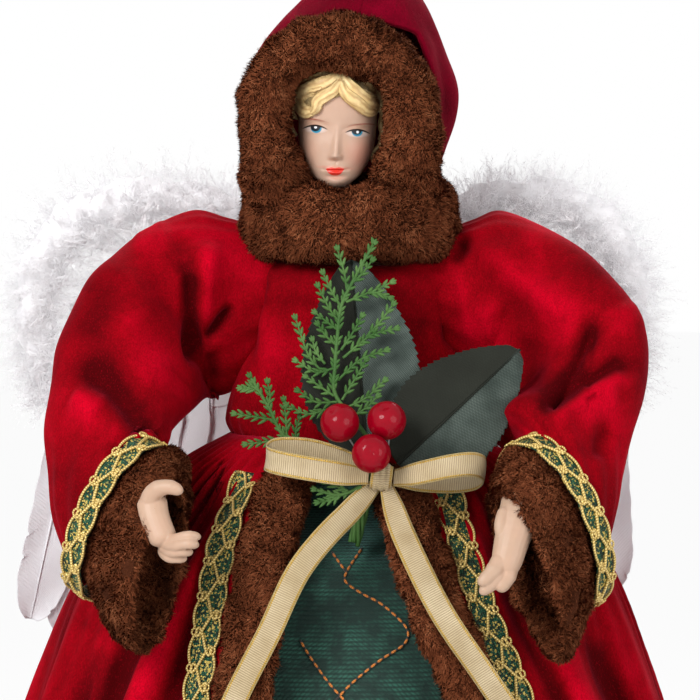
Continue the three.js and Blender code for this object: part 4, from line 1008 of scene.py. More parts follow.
def fur_band(name, sign):
    """The trim on one front edge of the coat."""
    share = np.linspace(0, 0.962, 150)
    z = 2 * HEM_LIFT + (WAIST_Z - HEM_LIFT) * share
    angle = edge_angle(sign, z) + sign / (HEM_HALF_WIDTH * bell(z / WAIST_Z))
    path = coat_point(angle, z, 3.4)
    across = unit(coat_point(angle + 0.05, z, 0) - coat_point(angle - 0.05, z, 0))
    up = unit(np.gradient(path, axis=0))
    out = unit(np.cross(across, up))
    turn = full_turn(36)
    bulge = squared_off(turn, 2.6)
    wide = (TRIM_HALF_WIDTH + 0.5 * drift(path, 30, 3))[:, None, None] * (np.cos(turn) * bulge)[None, :, None]
    deep = (TRIM_HALF_DEPTH * np.sin(turn) * bulge)[None, :, None]
    rows = path[:, None] + across[:, None] * wide + out[:, None] * deep
    front = (out[:, None] * unit(rows - rows.mean(1, keepdims=True))).sum(-1)
    base = fur_roll(name + "_fur_trim", name + "_fur_band", rows, 20 + sign,
                    pile_weight=ease(front + 0.7), lay=(0, 0, -0.5))


def mouth_section(name, sign):
    """The sleeve's mouth: its centre, half axes and the way that the arm points."""
    centre, outer, front = ARM_SHARES[name][-1]
    a, b = arm_way(sign, outer), arm_way(sign, front)
    axis = unit(np.cross(a, b))
    return arm_place(sign, centre), a, b, axis if axis[1] < 0 else -axis


CUFF_STRAIGHT = 6.5
CUFF_FUR = 5
CUFF_INSET = 2.2
CUFF_LIP = 3.4
CUFF_SWELL = 3.4
BRAID_EDGE = 5.5


def cuff_rows(name, sign):
    """Sections of the cuff from the sleeve's seam to its open rim, drawn in to leave room for the pile."""
    centre, a, b, axis = mouth_section(name, sign)
    stations = [(centre + axis * far, a, b) for far in (0.35, CUFF_STRAIGHT)]
    stations += [(arm_place(sign, c), arm_way(sign, p), arm_way(sign, q)) for c, p, q in CUFF_SHARES[name]]
    t = np.linspace(0, 1, 40)
    centres, outers, fronts = (spline([station[k] for station in stations])(t) for k in range(3))
    turn = full_turn(110)[None, :, None]

    def ring(depth):
        less = lambda v: v * (1 - (CUFF_INSET + depth) / np.linalg.norm(v, axis=-1, keepdims=True))
        return centres[:, None] + less(outers)[:, None] * np.cos(turn) + less(fronts)[:, None] * np.sin(turn)

    outside, inside = ring(0), ring(CUFF_FUR - 2 * CUFF_INSET)
    lip = []
    for angle in np.linspace(0, np.pi, 9)[1:-1]:
        middle, reach = (outside[-1] + inside[-1]) / 2, (outside[-1] - inside[-1]) / 2
        lip.append(middle + reach * math.cos(angle) + axis * CUFF_LIP * math.sin(angle))
    return outside, np.array(lip), inside[::-1]


def fur_cuff(name, sign):
    """A flared cuff. Its pile starts past the braid, thins out inside and swells over the braid's inner side."""
    outside, lip, inside = cuff_rows(name, sign)
    rows = np.concatenate([outside, lip, inside[:30]])
    centre, _, _, axis = mouth_section(name, sign)
    normals = surface_normals(rows, loop=True)
    outer_rows = slice(len(outside))
    middle = rows[outer_rows].mean(1, keepdims=True)
    if ((rows[outer_rows] - middle) * normals[outer_rows]).sum() < 0:
        rows, normals = rows[:, ::-1], -normals[:, ::-1]
    from_seam = (rows - centre) @ axis
    pile_share = np.where(np.arange(len(rows)) < len(outside) + len(lip) + 8, 1, 0.45)
    weight = (from_seam > BRAID_EDGE) * pile_share[:, None]
    near_braid = ease((from_seam - 3) / 5) * (1 - ease((from_seam - 13) / 12))
    swell = np.clip(normals @ [-sign, 0, 0.3], 0, 1) * near_braid
    swell[len(outside):] = 0
    rows = rows + normals * (CUFF_SWELL * swell)[..., None]
    far = ease((from_seam - BRAID_EDGE) / 8)
    rows = rows + normals * (far * (0.8 * drift(rows, 11, 31 + sign) + 0.4 * drift(rows, 5, 33)))[..., None]
    shape = Shape()
    shape.grid(rows, cloth_places(rows, loop=True), loop=True)
    settle(shape.make(name + "_fur_cuff", [fur_base]), name + "_arm", "fur", name + "_cuff")
    roots, ways = scatter(rows, normals, CUFF_STRANDS, np.random.default_rng(40 + sign), weight)
    pile = fur_pile(name + "_fur_cuff_pile", roots, ways, 43 + sign, lay=axis * 0.4 + [0, 0, -0.2])
    settle(pile, name + "_arm", "fur")


COLLAR_HALF_WIDTH, COLLAR_HALF_DEPTH = 34, 31
COLLAR_FOOT_Z, COLLAR_TOP_Z = 311, 338
COLLAR_THICKNESS = 13.4


def fur_collar():
    """A soft cowl round the neck, lower in front so that the chin shows."""
    turn = full_turn(90)[:, None]
    out = np.concatenate([np.sin(turn), -np.cos(turn), 0 * turn], 1)
    half = COLLAR_THICKNESS / 2
    ring = out * [COLLAR_HALF_WIDTH - half, COLLAR_HALF_DEPTH - half, 0]
    dip = 0.12 * (1 + np.cos(turn)) * 26
    beside_chin = 2.6 * hill(turn, 0.25, 0.16) + 1.8 * hill(turn, 2 * np.pi - 0.42, 0.14)
    low, high = COLLAR_FOOT_Z - dip / 4, COLLAR_TOP_Z - dip * 0.72 + beside_chin
    section = full_turn(48)[None, :]
    bulge = squared_off(section, 2.6)
    reach = (half - 1.6) * np.cos(section) * bulge * (1 + 0.1 * np.sin(turn * 5 + 1))
    height = ((high - low) / 2 - 1.4) * np.sin(section) * bulge + (high + low) / 2
    rows = ring[:, None] + out[:, None] * reach[..., None] + np.stack([0 * height, 0 * height, height], -1)
    fur_roll("fur_cowl", "fur_collar", rows, 50, joined=True)


# Rows of place across, height and half breadth, in shares of the hood's half width, height and half width
BRIM_SHARES = [
    [-0.70, -0.12, 0.335], [-0.715, 0.0, 0.33], [-0.76, 0.13, 0.29], [-0.785, 0.28, 0.265], [-0.74, 0.41, 0.255],
    [-0.5, 0.54, 0.265], [-0.1, 0.58, 0.29], [0.29, 0.52, 0.29], [0.54, 0.38, 0.27], [0.575, 0.24, 0.285],
    [0.575, 0.12, 0.31], [0.525, 0.0, 0.35], [0.48, -0.12, 0.37],
]
BRIM_DEPTH = 17


def fur_brim():
    """The thick roll round the hood's face opening."""
    rows = np.array(BRIM_SHARES)
    t = np.linspace(0, 1, 130)
    across, depth = rows[:, 0] * HOOD_HALF_WIDTH, 0 * rows[:, 0] + HOOD_FACE_Y - BRIM_DEPTH / 2 - 0.35
    path = spline(np.stack([across, depth, HOOD_FOOT_Z + rows[:, 1] * HOOD_HEIGHT], -1))(t)
    foot = ease(1 - np.minimum(t, 1 - t) * 7)
    path[:, 1] += 3.4 * foot
    breadth = profile(np.stack([np.linspace(0, 1, len(rows)), rows[:, 2]], -1))(t) * HOOD_HALF_WIDTH - 1.8
    along = unit(np.gradient(path, axis=0))
    out = unit(np.cross(along, [0, 1, 0]))
    turn = full_turn(52)
    bulge = squared_off(turn, 2.3)
    wide = breadth[:, None] * (np.cos(turn) * bulge)[None, :] * (1 + 0.06 * np.sin(9 * t * np.pi)[:, None])
    deep = (BRIM_DEPTH / 2 - 1.2) * (1 - 0.4 * foot)[:, None] * (np.sin(turn) * bulge)[None, :]
    section = path[:, None] + out[:, None] * wide[..., None] + np.stack([0 * wide, deep + 0 * wide, 0 * wide], -1)
    fur_roll("fur_brim", "hood_fur", section, 60, length=2.2, lay=(0, 0, -0.25))


for name, sign in SIDES.items():
    fur_band(name, sign)
    fur_cuff(name, sign)
fur_collar()
fur_brim()

# Trims that follow a path: places on them are a length along, a length across and a height above


class Strip:
    """A path with the ways along, across and out of the surface that it lies on."""

    def __init__(self, path, out):
        self.path = path
        self.along = unit(np.gradient(path, axis=0))
        self.out = unit(out - self.along * (out * self.along).sum(-1, keepdims=True))
        self.across = np.cross(self.along, self.out)
        self.run = run_along(path)

    def at(self, s, w, h):
        s, w, h = np.broadcast_arrays(s, w, h)
        s = np.mod(s, self.run[-1]) if self.closed() else s
        place, across, out = (read_along(s, self.run, values) for values in (self.path, self.across, self.out))
        return place + across * w[..., None] + out * h[..., None]

    def closed(self):
        return np.linalg.norm(self.path[0] - self.path[-1]) < 0.01


# Braid: a gold cord in looped zigzags on a green ground


def gold_cord_finish():
    """Cord of twisted metallic thread. Its cloth runs along it in millimetres and once round it."""
    f = Finish("gold cord")
    u, v, _ = f.parts(f.cloth)
    twist = ((u / 0.8 + v) * (2 * math.pi)).sin() * 0.5 + 0.5
    # Fine spots that are painted bright as glints, and are less rough
    glints = f.noise(0.3, 1)
    color = f.mix((twist * 0.75 + glints * 0.5 - 0.15).clamp(), (0.42, 0.25, 0.035), (0.95, 0.75, 0.30))
    return f.surface(color, (0.5 - glints * 0.2).clamp(), Metallic=0.4, Normal=f.bump(twist, 0.16))


def lurex_finish():
    """Green metallic ground with gold flecks."""
    f = Finish("green lurex")
    u, v, _ = f.parts(f.cloth)
    weave = ((u * 4.2).sin() * (v * 5.2).sin()).abs()
    spark = f.cells(0.55, "Color")
    _, bright, _ = f.parts(spark)
    gold = bright.above(0.74, 0.1)
    dark = bright.above(0.3, 0.1)
    color = f.mix(weave * dark, (0.003, 0.018, 0.010), (0.014, 0.17, 0.085))
    color = f.mix(gold * 0.85, color, (0.72, 0.52, 0.12))
    return f.surface(color, 0.42, Metallic=0.35, Normal=f.bump(weave + bright * 0.5, 0.18))


gold_cord = gold_cord_finish()
green_lurex = lurex_finish()
LOOP_PITCH = 10.7
LOOP_LEAN = 2.5
CORD_RADIUS, ARC_RADIUS, RING_RADIUS = 0.46, 0.42, 0.33
BRAID_FROM_EDGE = 16.4
COAT_BRAID_HALF_WIDTH, CUFF_BRAID_HALF_WIDTH = 4.7, 3.9


def braid(name, body, node, strip, half_width):
    """The looped cord, the small arcs between its loops and the ground under them."""
    total = strip.run[-1]
    periods = max(round(total / LOOP_PITCH), 1)
    pitch = total / periods
    scale = half_width / 4
    margin = 0 if strip.closed() else 0.6
    shape = Shape()
    s = np.linspace(0, total, max(int(total / 0.8), 12))[:, None]
    side = np.linspace(-1, 1, 11)[None, :]
    w = side * half_width * (0.86 + 0.22 * np.abs(np.cos(np.pi * (s / pitch + (side < 0) * 0.5))))
    ground = strip.at(s * 0.9999, w, 0.35 - 0.25 * side**2 + 0 * s)
    shape.cloth(ground, 0.3, np.stack(np.broadcast_arrays(w, s), -1), slot=1)
    turn = np.linspace(0, 2 * np.pi * periods, periods * 40)
    along = pitch * turn / (2 * np.pi) - LOOP_LEAN * pitch / LOOP_PITCH * np.sin(2 * turn)
    if margin:
        along = np.clip(along, margin, total - margin)
    cord = strip.at(along, -2.65 * scale * np.cos(turn), 0.85 + 0.28 * np.sin(2 * turn))
    shape.tube(cord, CORD_RADIUS, 7)
    for edge, first in ((-1, 0.5), (1, 0.0)):
        for k in range(periods + (1 if edge > 0 and margin else 0)):
            share = np.linspace(0.08, 0.92, 16)
            s = (k + first + share - 0.5) * pitch
            if margin and (s[0] < margin or s[-1] > total - margin):
                continue
            arch = np.abs(np.sin(np.pi * share)) ** 0.6
            shape.tube(strip.at(s, edge * (2.3 + 1.85 * arch) * scale, 0.6), ARC_RADIUS, 6)
    ring = np.linspace(0, 2 * np.pi, 17)
    for k in range(periods):
        for edge, at in ((-1, 0.0), (1, 0.5)):
            middle = min(max((k + at) * pitch, margin + 1.2), total - margin - 1.2)
            loop = strip.at(middle + 1.0 * np.cos(ring), edge * 3.1 * scale + 0.85 * np.sin(ring), 1.1)
            shape.tube(loop, RING_RADIUS, 6)
    settle(shape.make(name, [gold_cord, green_lurex]), body, "braid", node)


def coat_braid(name, sign):
    share = np.linspace(0.0, 0.955, 260)
    z = 2 * HEM_LIFT + (WAIST_Z - HEM_LIFT) * share
    radius = HEM_HALF_WIDTH * bell(z / WAIST_Z)
    angle = edge_angle(sign, z) + sign * BRAID_FROM_EDGE / radius
    path = coat_point(angle, z, 0.55)
    side = coat_point(angle + 0.03, z, 0.55) - coat_point(angle - 0.03, z, 0.55)
    out = np.cross(unit(side), unit(np.gradient(path, axis=0)))
    strip = Strip(path, unit(out))
    braid(name + "_gold_coat_braid", "angel", name + "_coat_braid", strip, COAT_BRAID_HALF_WIDTH)


def cuff_braid(name, sign):
    centre, a, b, axis = mouth_section(name, sign)
    turn = np.linspace(0, 2 * np.pi, 181)[:, None]
    way = a * np.cos(turn) + b * np.sin(turn)
    path = centre + axis * 3.3 + way + unit(way) * 0.9
    tangent = -a * np.sin(turn) + b * np.cos(turn)
    out = np.cross(unit(tangent), np.broadcast_to(axis, tangent.shape))
    out *= np.sign((out * way).sum(-1, keepdims=True))
    strip = Strip(path, unit(out))
    braid(name + "_gold_cuff_braid", name + "_arm", name + "_cuff_braid", strip, CUFF_BRAID_HALF_WIDTH)


for name, sign in SIDES.items():
    coat_braid(name, sign)
    cuff_braid(name, sign)

# The bow, from a narrow ribbon with gold threads along its edges

RIBBON_WIDTH = 7.2
RIBBON_THICKNESS = 0.4
BOW = np.array([9.3, -56, 247.6])


def bow_place(shares):
    """A place beside the bow, in ribbon widths across, forward and up."""
    across, forward, up = np.moveaxis(np.asarray(shares, float), -1, 0) * RIBBON_WIDTH
    return BOW + np.stack([across, -forward, up], -1)


def ribbon_finish():
    """Ribbed satin with a twisted gold thread inside each edge."""
    f = Finish("champagne ribbon")
    u, v, _ = f.parts(f.cloth)
    rib = (v * (math.pi / 0.66)).sin().abs()
    fibre = f.noise(0.35, 2, 0.6)
    near_edge = u.abs()
    thread = near_edge.above(2.75, 0.15) * (near_edge * -1).above(-3.3, 0.15)
    dash = ((v + near_edge * 0.7) / 0.8).fract().above(0.22, 0.3) * 0.8 + 0.2
    selvage = near_edge.above(3.4, 0.15)
    # Painted sheen, in broad patches
    sheen = f.noise(9, 2).above(0.5, 0.35)
    lit = f.mix(sheen, (0.48, 0.36, 0.195), (0.66, 0.53, 0.33))
    color = f.mix(rib * 0.7 + fibre * 0.3, (0.22, 0.152, 0.068), lit)
    color = f.mix(thread * dash, color, (0.40, 0.235, 0.022))
    color = f.mix(selvage, color, (0.50, 0.36, 0.12))
    height = rib * 0.6 + fibre * 0.2 + thread * dash * 0.5
    return f.surface(color, (0.52 - thread * dash * 0.16).clamp(), Metallic=(thread * dash * 0.5).clamp(),
                     Sheen_Weight=0.15, Normal=f.bump(height, 0.16))


champagne_ribbon = ribbon_finish()


def ribbon(name, node, path, across, half_width, curl):
    """A length of ribbon along a path; curl bends its edges up."""
    strip_way = unit(across)
    along = unit(np.gradient(path, axis=0))
    up = unit(np.cross(strip_way, along))
    w = np.linspace(-1, 1, 11)[None, :]
    half = np.broadcast_to(half_width, len(path))[:, None]
    raised = up[:, None] * (curl * w**2 + 0 * half)[..., None]
    outer = path[:, None] + strip_way[:, None] * (w * half)[..., None] + raised
    places = np.stack(np.broadcast_arrays(w * RIBBON_WIDTH / 2, run_along(path)[:, None]), -1)
    shape = Shape()
    shape.cloth(outer, RIBBON_THICKNESS, places)
    settle(shape.make(name, [champagne_ribbon]), "angel", "ribbon", node)


# The loops in ribbon widths from the knot, and the tails in shares of the hem's half width and the waist's height
LEFT_LOOP = [
    [-0.52, 0.25, 0.05], [-1.6, 0.75, 0.2], [-3, 0.85, 0.42], [-4.3, 0.65, 0.66], [-4.75, 0.15, 0.85],
    [-4.3, -0.3, 1.12], [-3, -0.45, 1.08], [-1.6, -0.3, 0.7], [-0.52, -0.15, 0.3],
]
RIGHT_LOOP = [
    [0.52, 0.25, 0.0], [1.4, 0.75, 0.2], [2.8, 0.95, 0.52], [3.75, 0.7, 0.58], [4.25, 0.15, 0.32],
    [3.9, -0.35, -0.08], [2.9, -0.45, -0.22], [1.6, -0.3, -0.15], [0.52, -0.15, -0.05],
]
LEFT_TAIL = [
    [0.035, 0.93], [-0.015, 0.917], [-0.105, 0.862], [-0.17, 0.79], [-0.235, 0.72], [-0.285, 0.65], [-0.33, 0.58],
]
RIGHT_TAIL = [
    [0.09, 0.93], [0.115, 0.896], [0.19, 0.815], [0.275, 0.745], [0.335, 0.695], [0.395, 0.635], [0.44, 0.58],
]
TAIL_LIFT = 11.3


def bow_loop(name, rows):
    t = np.linspace(0, 1, 90)
    path = spline(bow_place(rows))(t)
    pinch = 1 - 0.32 * hill(np.minimum(t, 1 - t), 0, 0.09)
    across = np.array([0.08, 0, 1.0]) + np.stack([0 * t, 0.25 * np.sin(2 * np.pi * t), 0 * t], -1)
    ribbon(name + "_ribbon_loop", "bow_" + name + "_loop", path, across, pinch * RIBBON_WIDTH / 2, 0.35)


def bow_tail(name, rows):
    t = np.linspace(0, 1, 110)
    share = spline(rows)(t)
    z = WAIST_Z * share[:, 1]
    reach = HEM_HALF_WIDTH * bell(z / WAIST_Z) + TAIL_LIFT
    angle = np.arcsin(np.clip(share[:, 0] * HEM_HALF_WIDTH / reach, -1, 1))
    wave = 0.5 * np.sin(9 * t + (1 if name == "left" else 3)) * ease(t * 4)
    path = coat_point(angle, z, TAIL_LIFT + wave)
    start = BOW + [-1.0 if name == "left" else 1.2, 1.2, -2.2]
    path = path + (start - path[0]) * ease(1 - t / 0.17)[:, None]
    tilt = np.stack([0 * t, 0.22 * np.sin(7 * t + 1), 0 * t], -1)
    across = np.cross(unit(np.gradient(path, axis=0)), [0, 1, 0]) + tilt
    pinch = 1 - 0.45 * hill(t, 0, 0.07)
    ribbon(name + "_ribbon_end", name + "_ribbon_tail", path, across, pinch * RIBBON_WIDTH / 2, 0.25)


def bow_knot():
    """The band round the middle, gathered by the pull of the loops."""
    x = np.linspace(-1, 1, 33)[:, None]
    turn = full_turn(56)[None, :]
    swell = (1 - np.abs(x) ** 5 * 0.25) * (1 + 0.05 * np.cos(x * 11 + 0.5 * np.sin(turn)))
    bulge = squared_off(turn, 2.5)
    rows = np.stack([BOW[0] + 3.2 * x + 0.4 * np.sin(turn), BOW[1] - 3.1 * np.cos(turn) * bulge * swell,
                     BOW[2] + 3.95 * np.sin(turn) * bulge * swell], -1)
    places = np.stack(np.broadcast_arrays(x * RIBBON_WIDTH / 2, np.arange(57)[None, :] * 0.42), -1)
    shape = Shape()
    shape.solid(rows, places, turned=True)
    settle(shape.make("ribbon_knot", [champagne_ribbon]), "angel", "ribbon", "bow_knot")


bow_loop("left", LEFT_LOOP)
bow_loop("right", RIGHT_LOOP)
bow_tail("left", LEFT_TAIL)
bow_tail("right", RIGHT_TAIL)
bow_knot()

# Leaves: wired cloth, creased along the middle, with a saw-toothed edge


def leaf_finish():
    """Dark cloth, painted nearly black as shade on one side of its crease. The other side is satin with a fine weave,
    painted bright as its sheen.
    """
    f = Finish("dark leaf satin")
    u, v, _ = f.parts(f.cloth)
    warp, weft = ((u + v * 0.55) * (math.pi / 0.5)).sin().abs(), ((u - v * 0.9) * (math.pi / 0.62)).sin().abs()
    weave = warp * 0.6 + weft * 0.4
    # One side of the crease is painted as shade and the other as satin sheen
    satin = 1 - u.above(0, 1.0)
    # Painted sheen, stronger in broad patches
    gleam = f.noise(10, 2, 0.5).above(0.5, 0.3)
    midrib = 1 - (u.abs() * 2.4).clamp()
    shaded_half = f.mix(f.noise(12, 2) * 0.6 + weave * 0.4, (0.010, 0.010, 0.007), (0.026, 0.029, 0.022))
    bright = f.mix(weave * weave * (gleam * 0.65 + 0.35), (0.014, 0.022, 0.018), (0.16, 0.20, 0.175))
    color = f.mix(satin, shaded_half, bright)
    # Painted shade along the crease
    color = f.mix(midrib * 0.5, color, (0.006, 0.007, 0.005))
    height = weave * 0.3 - midrib * 0.7
    return f.surface(color, (0.62 - satin * 0.14).clamp(), Specular_IOR_Level=0.1, Normal=f.bump(height, 0.35))


dark_leaf = leaf_finish()


def wire_finish():
    """Drawn steel, with fine marks along it."""
    f = Finish("steel wire")
    mark = f.noise(0.6, 2)
    color = f.mix(mark, (0.34, 0.34, 0.35), (0.52, 0.52, 0.52))
    return f.surface(color, (0.3 + mark * 0.15).clamp(), Metallic=1.0)


steel_wire = wire_finish()
LEAF_THICKNESS = 0.45
LEAF_TEETH = 24


def leaf_breadth(t):
    return 0.06 + 0.94 * np.sin(np.pi * np.clip(t, 0, 1) ** 0.8) ** 0.75 * (1 - 0.1 * t)


def leaf(name, node, foot, way, length, width, arch, fold):
    """A leaf from its foot beside the bow. It arches along its length and is folded at the crease."""
    foot, way = bow_place(foot), unit(np.array(way, float))
    side = unit(np.cross(way, [0, 1, 0]))
    front = np.cross(side, way)
    front *= -np.sign(front[1])
    t = np.linspace(0, 1, 150)[:, None]
    w = np.linspace(-1, 1, 49)[None, :]
    teeth = 1 - 0.055 * np.mod(t * LEAF_TEETH + np.abs(w) * 0.2, 1) * np.abs(w) ** 6
    half = np.maximum(leaf_breadth(t) * teeth * width / 2 * ease((1 - t) * 30 + 0.06), 0.25)
    ripple = 0.5 * np.sin(t * 19 + w * 2) * np.abs(w) ** 2
    lift = arch * length * np.sin(np.pi * t) + fold * width * np.abs(w) + ripple
    outer = foot + way * (length * t)[..., None] + side * (w * half)[..., None] + front * lift[..., None]
    places = np.stack(np.broadcast_arrays(w * half, length * t), -1)
    if surface_normals(outer)[..., 1].mean() > 0:
        outer, places = outer[:, ::-1], places[:, ::-1]
    shape = Shape()
    shape.cloth(outer, LEAF_THICKNESS, places)
    piece = settle(shape.make(name, [dark_leaf]), "angel", "leaf", node)
    t = np.linspace(0, 0.93, 40)
    lift = arch * length * np.sin(np.pi * t) + 0.25
    rib = Shape()
    rib.tube(foot + way * (length * t)[:, None] + front * lift[:, None], 0.42 * (1.15 - t), 6)
    settle(rib.make(name + "_midrib", [dark_leaf]), "angel", "leaf")


leaf("standing_leaf", "upright_leaf", [-0.55, -1.45, 0.55], [-0.08, 0.2, 0.97], 61, 38, 0.05, 0.04)
leaf("leaning_leaf", "side_leaf", [0.7, -0.86, 0.45], [0.72, 0.02, 0.68], 50, 35, 0.03, -0.05)

# Berries, lacquered red, on thin wires


def berry_finish():
    f = Finish("red lacquer")
    depth = f.noise(7, 2)
    fine = f.noise(0.8, 2)
    color = f.mix(depth, (0.17, 0.0, 0.004), (0.34, 0.0, 0.012))
    return f.surface(color, 0.45, Specular_IOR_Level=0.04, Coat_Weight=0.24, Coat_Roughness=0.08,
                     Normal=f.bump(depth + fine * 0.2, 0.25))


red_lacquer = berry_finish()
BERRY_RADIUS = 5.75
# Each berry's middle, the bend of its wire and the wire's foot, in ribbon widths from the bow
BERRIES = {
    "left": [[-1.71, 0.6, 2.28], [-1.2, -0.1, 1.35], [-0.62, -0.63, 0.5]],
    "right": [[0.21, 0.6, 2.38], [0.35, -0.1, 1.5], [0.22, -0.5, 0.75]],
    "low": [[-0.42, 1.4, 1.08], [-0.4, 0.3, 0.9], [-0.22, -0.42, 0.62]],
}


def berry(name, rows):
    """A ball with a slight dimple where its wire goes in, on the bent wire."""
    centre, bend, foot = bow_place(rows)
    pole = unit(centre - bend)
    side = unit(np.cross(pole, [0.3, 1, 0]))
    other = np.cross(pole, side)
    polar = np.linspace(0.02, np.pi - 0.02, 40)[:, None]
    turn = full_turn(56)[None, :]
    dimples = 0.14 * hill(polar, 0, 0.3) + 0.07 * hill(polar, np.pi, 0.35)
    reach = BERRY_RADIUS * (1 - dimples + 0.006 * np.sin(3 * turn + 2 * polar))
    round_way = np.cos(turn)[..., None] * side + np.sin(turn)[..., None] * other
    shape = Shape()
    shape.solid(centre + (reach * np.cos(polar))[..., None] * pole + (reach * np.sin(polar))[..., None] * round_way)
    start = centre - pole * (BERRY_RADIUS - 0.6)
    t = np.linspace(0, 1, 20)[:, None]
    wire = start * (1 - t) ** 2 + 2 * bend * t * (1 - t) + foot * t**2
    shape.tube(wire, 0.3, 8, slot=1)
    settle(shape.make(name + "_lacquered_berry", [red_lacquer, steel_wire]), "angel", "berry", "berry_" + name)


for name, rows in BERRIES.items():
    berry(name, rows)

# Cedar sprigs: thin stems with short forked branchlets, all in soft plastic


def sprig_finish():
    f = Finish("cedar green")
    mottle = f.noise(2.2, 2)
    tips = f.noise(9, 2).above(0.52, 0.3)
    color = f.mix(mottle, (0.022, 0.074, 0.013), (0.058, 0.150, 0.032))
    color = f.mix(tips * 0.4, color, (0.17, 0.30, 0.09))
    return f.surface(color, 0.55, Specular_IOR_Level=0.2, Normal=f.bump(mottle, 0.12))


cedar = sprig_finish()
# Sprigs are drawn in pixels of the photograph: the stem first, then its twigs
MAIN_SPRIG = [
    [(376, 449), (356, 422), (335, 394), (335, 366), (337, 340), (341, 307), (352, 283), (373, 245)],
    [(347, 290), (344, 272), (338, 251)], [(351, 284), (362, 274), (371, 262)], [(341, 307), (332, 292), (324, 275)],
    [(339, 322), (329, 308), (319, 288)], [(338, 330), (327, 322), (317, 314)], [(336, 345), (326, 336), (319, 326)],
    [(335, 368), (316, 372), (298, 362)], [(322, 372), (308, 354), (296, 320)], [(325, 364), (316, 352), (313, 342)],
    [(334, 396), (322, 388), (308, 378)], [(337, 402), (316, 402), (300, 392)], [(330, 408), (308, 414), (289, 406)],
    [(346, 302), (370, 292), (390, 283)], [(368, 293), (378, 293), (388, 297)], [(341, 350), (352, 334), (361, 318)],
    [(343, 358), (370, 336), (394, 329)], [(366, 337), (380, 322), (392, 306)], [(338, 380), (360, 360), (384, 351)],
    [(342, 400), (352, 384), (365, 362)], [(346, 408), (366, 398), (383, 382)], [(354, 416), (366, 408), (376, 398)],
]
LEFT_SPRIG = [
    [(362, 468), (323, 455), (286, 438), (268, 406), (251, 378)],
    [(268, 407), (270, 396), (268, 384)], [(273, 420), (256, 417), (237, 414)], [(287, 438), (286, 420), (284, 402)],
    [(282, 440), (266, 442), (248, 444)], [(296, 444), (296, 430), (299, 420)], [(258, 390), (250, 388), (243, 388)],
]
LOW_SPRIG = [
    [(361, 486), (350, 492), (336, 495), (317, 490)],
    [(348, 491), (336, 486), (322, 480)], [(340, 495), (332, 500), (320, 502)],
]
LEAFLET_PITCH = 2.3


def leaflet(shape, root, way, front, length):
    """One small scale leaf: a thin flattened spike."""
    t = np.array([0, 0.35, 0.75, 1.0])
    path = root + way * (length * t)[:, None] + front * (0.12 * length * t**2)[:, None]
    shape.tube(path, 0.52 * np.array([0.8, 1.0, 0.75, 0.15]), 6, flat=0.6, up=front)


def cedar_sprig(name, node, twigs, depth, seed):
    """A stem with twigs, and pairs of small leaves along each."""
    rng = np.random.default_rng(seed)
    front = np.array([0, -1.0, 0])
    shape = Shape()
    for k, line in enumerate(twigs):
        t = np.linspace(0, 1, 40)
        at = spline(line)(t)
        lift = 0 if k == 0 else rng.uniform(-0.6, 1.6) * t
        path = from_photo(at, depth(at[:, 1]) - lift)
        along = unit(np.gradient(path, axis=0))
        run = run_along(path)
        shape.tube(path, (0.68 if k == 0 else 0.44) - 0.16 * t, 7)
        first = 0.3 if k == 0 else 0.16
        pairs = max(round(run[-1] * (1 - first) / LEAFLET_PITCH), 3)
        for j in range(pairs):
            share = first + (1 - first) * j / pairs
            i = int(np.searchsorted(run, share * run[-1]))
            across = unit(np.cross(along[i], front))
            for hand in (-1, 1):
                way = along[i] * rng.uniform(0.95, 1.25) + across * hand * rng.uniform(0.55, 0.85)
                way = unit(way + front * rng.uniform(-0.05, 0.3))
                leaflet(shape, path[i], way, front, rng.uniform(2.1, 3.2) * (1.05 - 0.2 * share))
        across = unit(np.cross(along[-1], front))
        for spread in (-0.45, 0, 0.45):
            leaflet(shape, path[-1], unit(along[-1] + across * spread), front, 2.2 - 0.5 * abs(spread))
    settle(shape.make(name, [cedar]), "angel", "sprig", node)


cedar_sprig("standing_sprig", "main_sprig", MAIN_SPRIG, lambda y: -49.8 + np.clip(420 - y, 0, 180) * 0.046, 3)
cedar_sprig("leaning_sprig", "left_sprig", LEFT_SPRIG, lambda y: -48.4 + 0 * y, 4)
cedar_sprig("hanging_sprig", "lower_sprig", LOW_SPRIG, lambda y: -57.5 + 0 * y, 5)
BUNDLE = [[-0.18, -0.87, 0.9], [-0.4, -0.84, 0], [-0.75, -1.1, -1.4], [-1.15, -1.4, -3]]


def stem_bundle():
    """The wires and stems that are twisted together behind the bow."""
    rng = np.random.default_rng(9)
    shape = Shape()
    t = np.linspace(0, 1, 60)
    middle = spline(bow_place(BUNDLE))(t)
    along = unit(np.gradient(middle, axis=0))
    side = unit(np.cross(along, [0, 1, 0]))
    front = np.cross(side, along)
    for k in range(7):
        phase = 2 * np.pi * k / 6 + 7 * t
        away = 0 if k == 6 else 1.35
        path = middle + side * (away * np.cos(phase))[:, None] + front * (away * np.sin(phase))[:, None]
        shape.tube(path[: int(60 * rng.uniform(0.86, 1.0))], 0.72, 7)
    settle(shape.make("bound_stems", [cedar]), "angel", "sprig", "stem_bundle")


stem_bundle()

# Head: one painted casting of face, moulded hair and neck. Its places are pixels of the photograph and a depth.

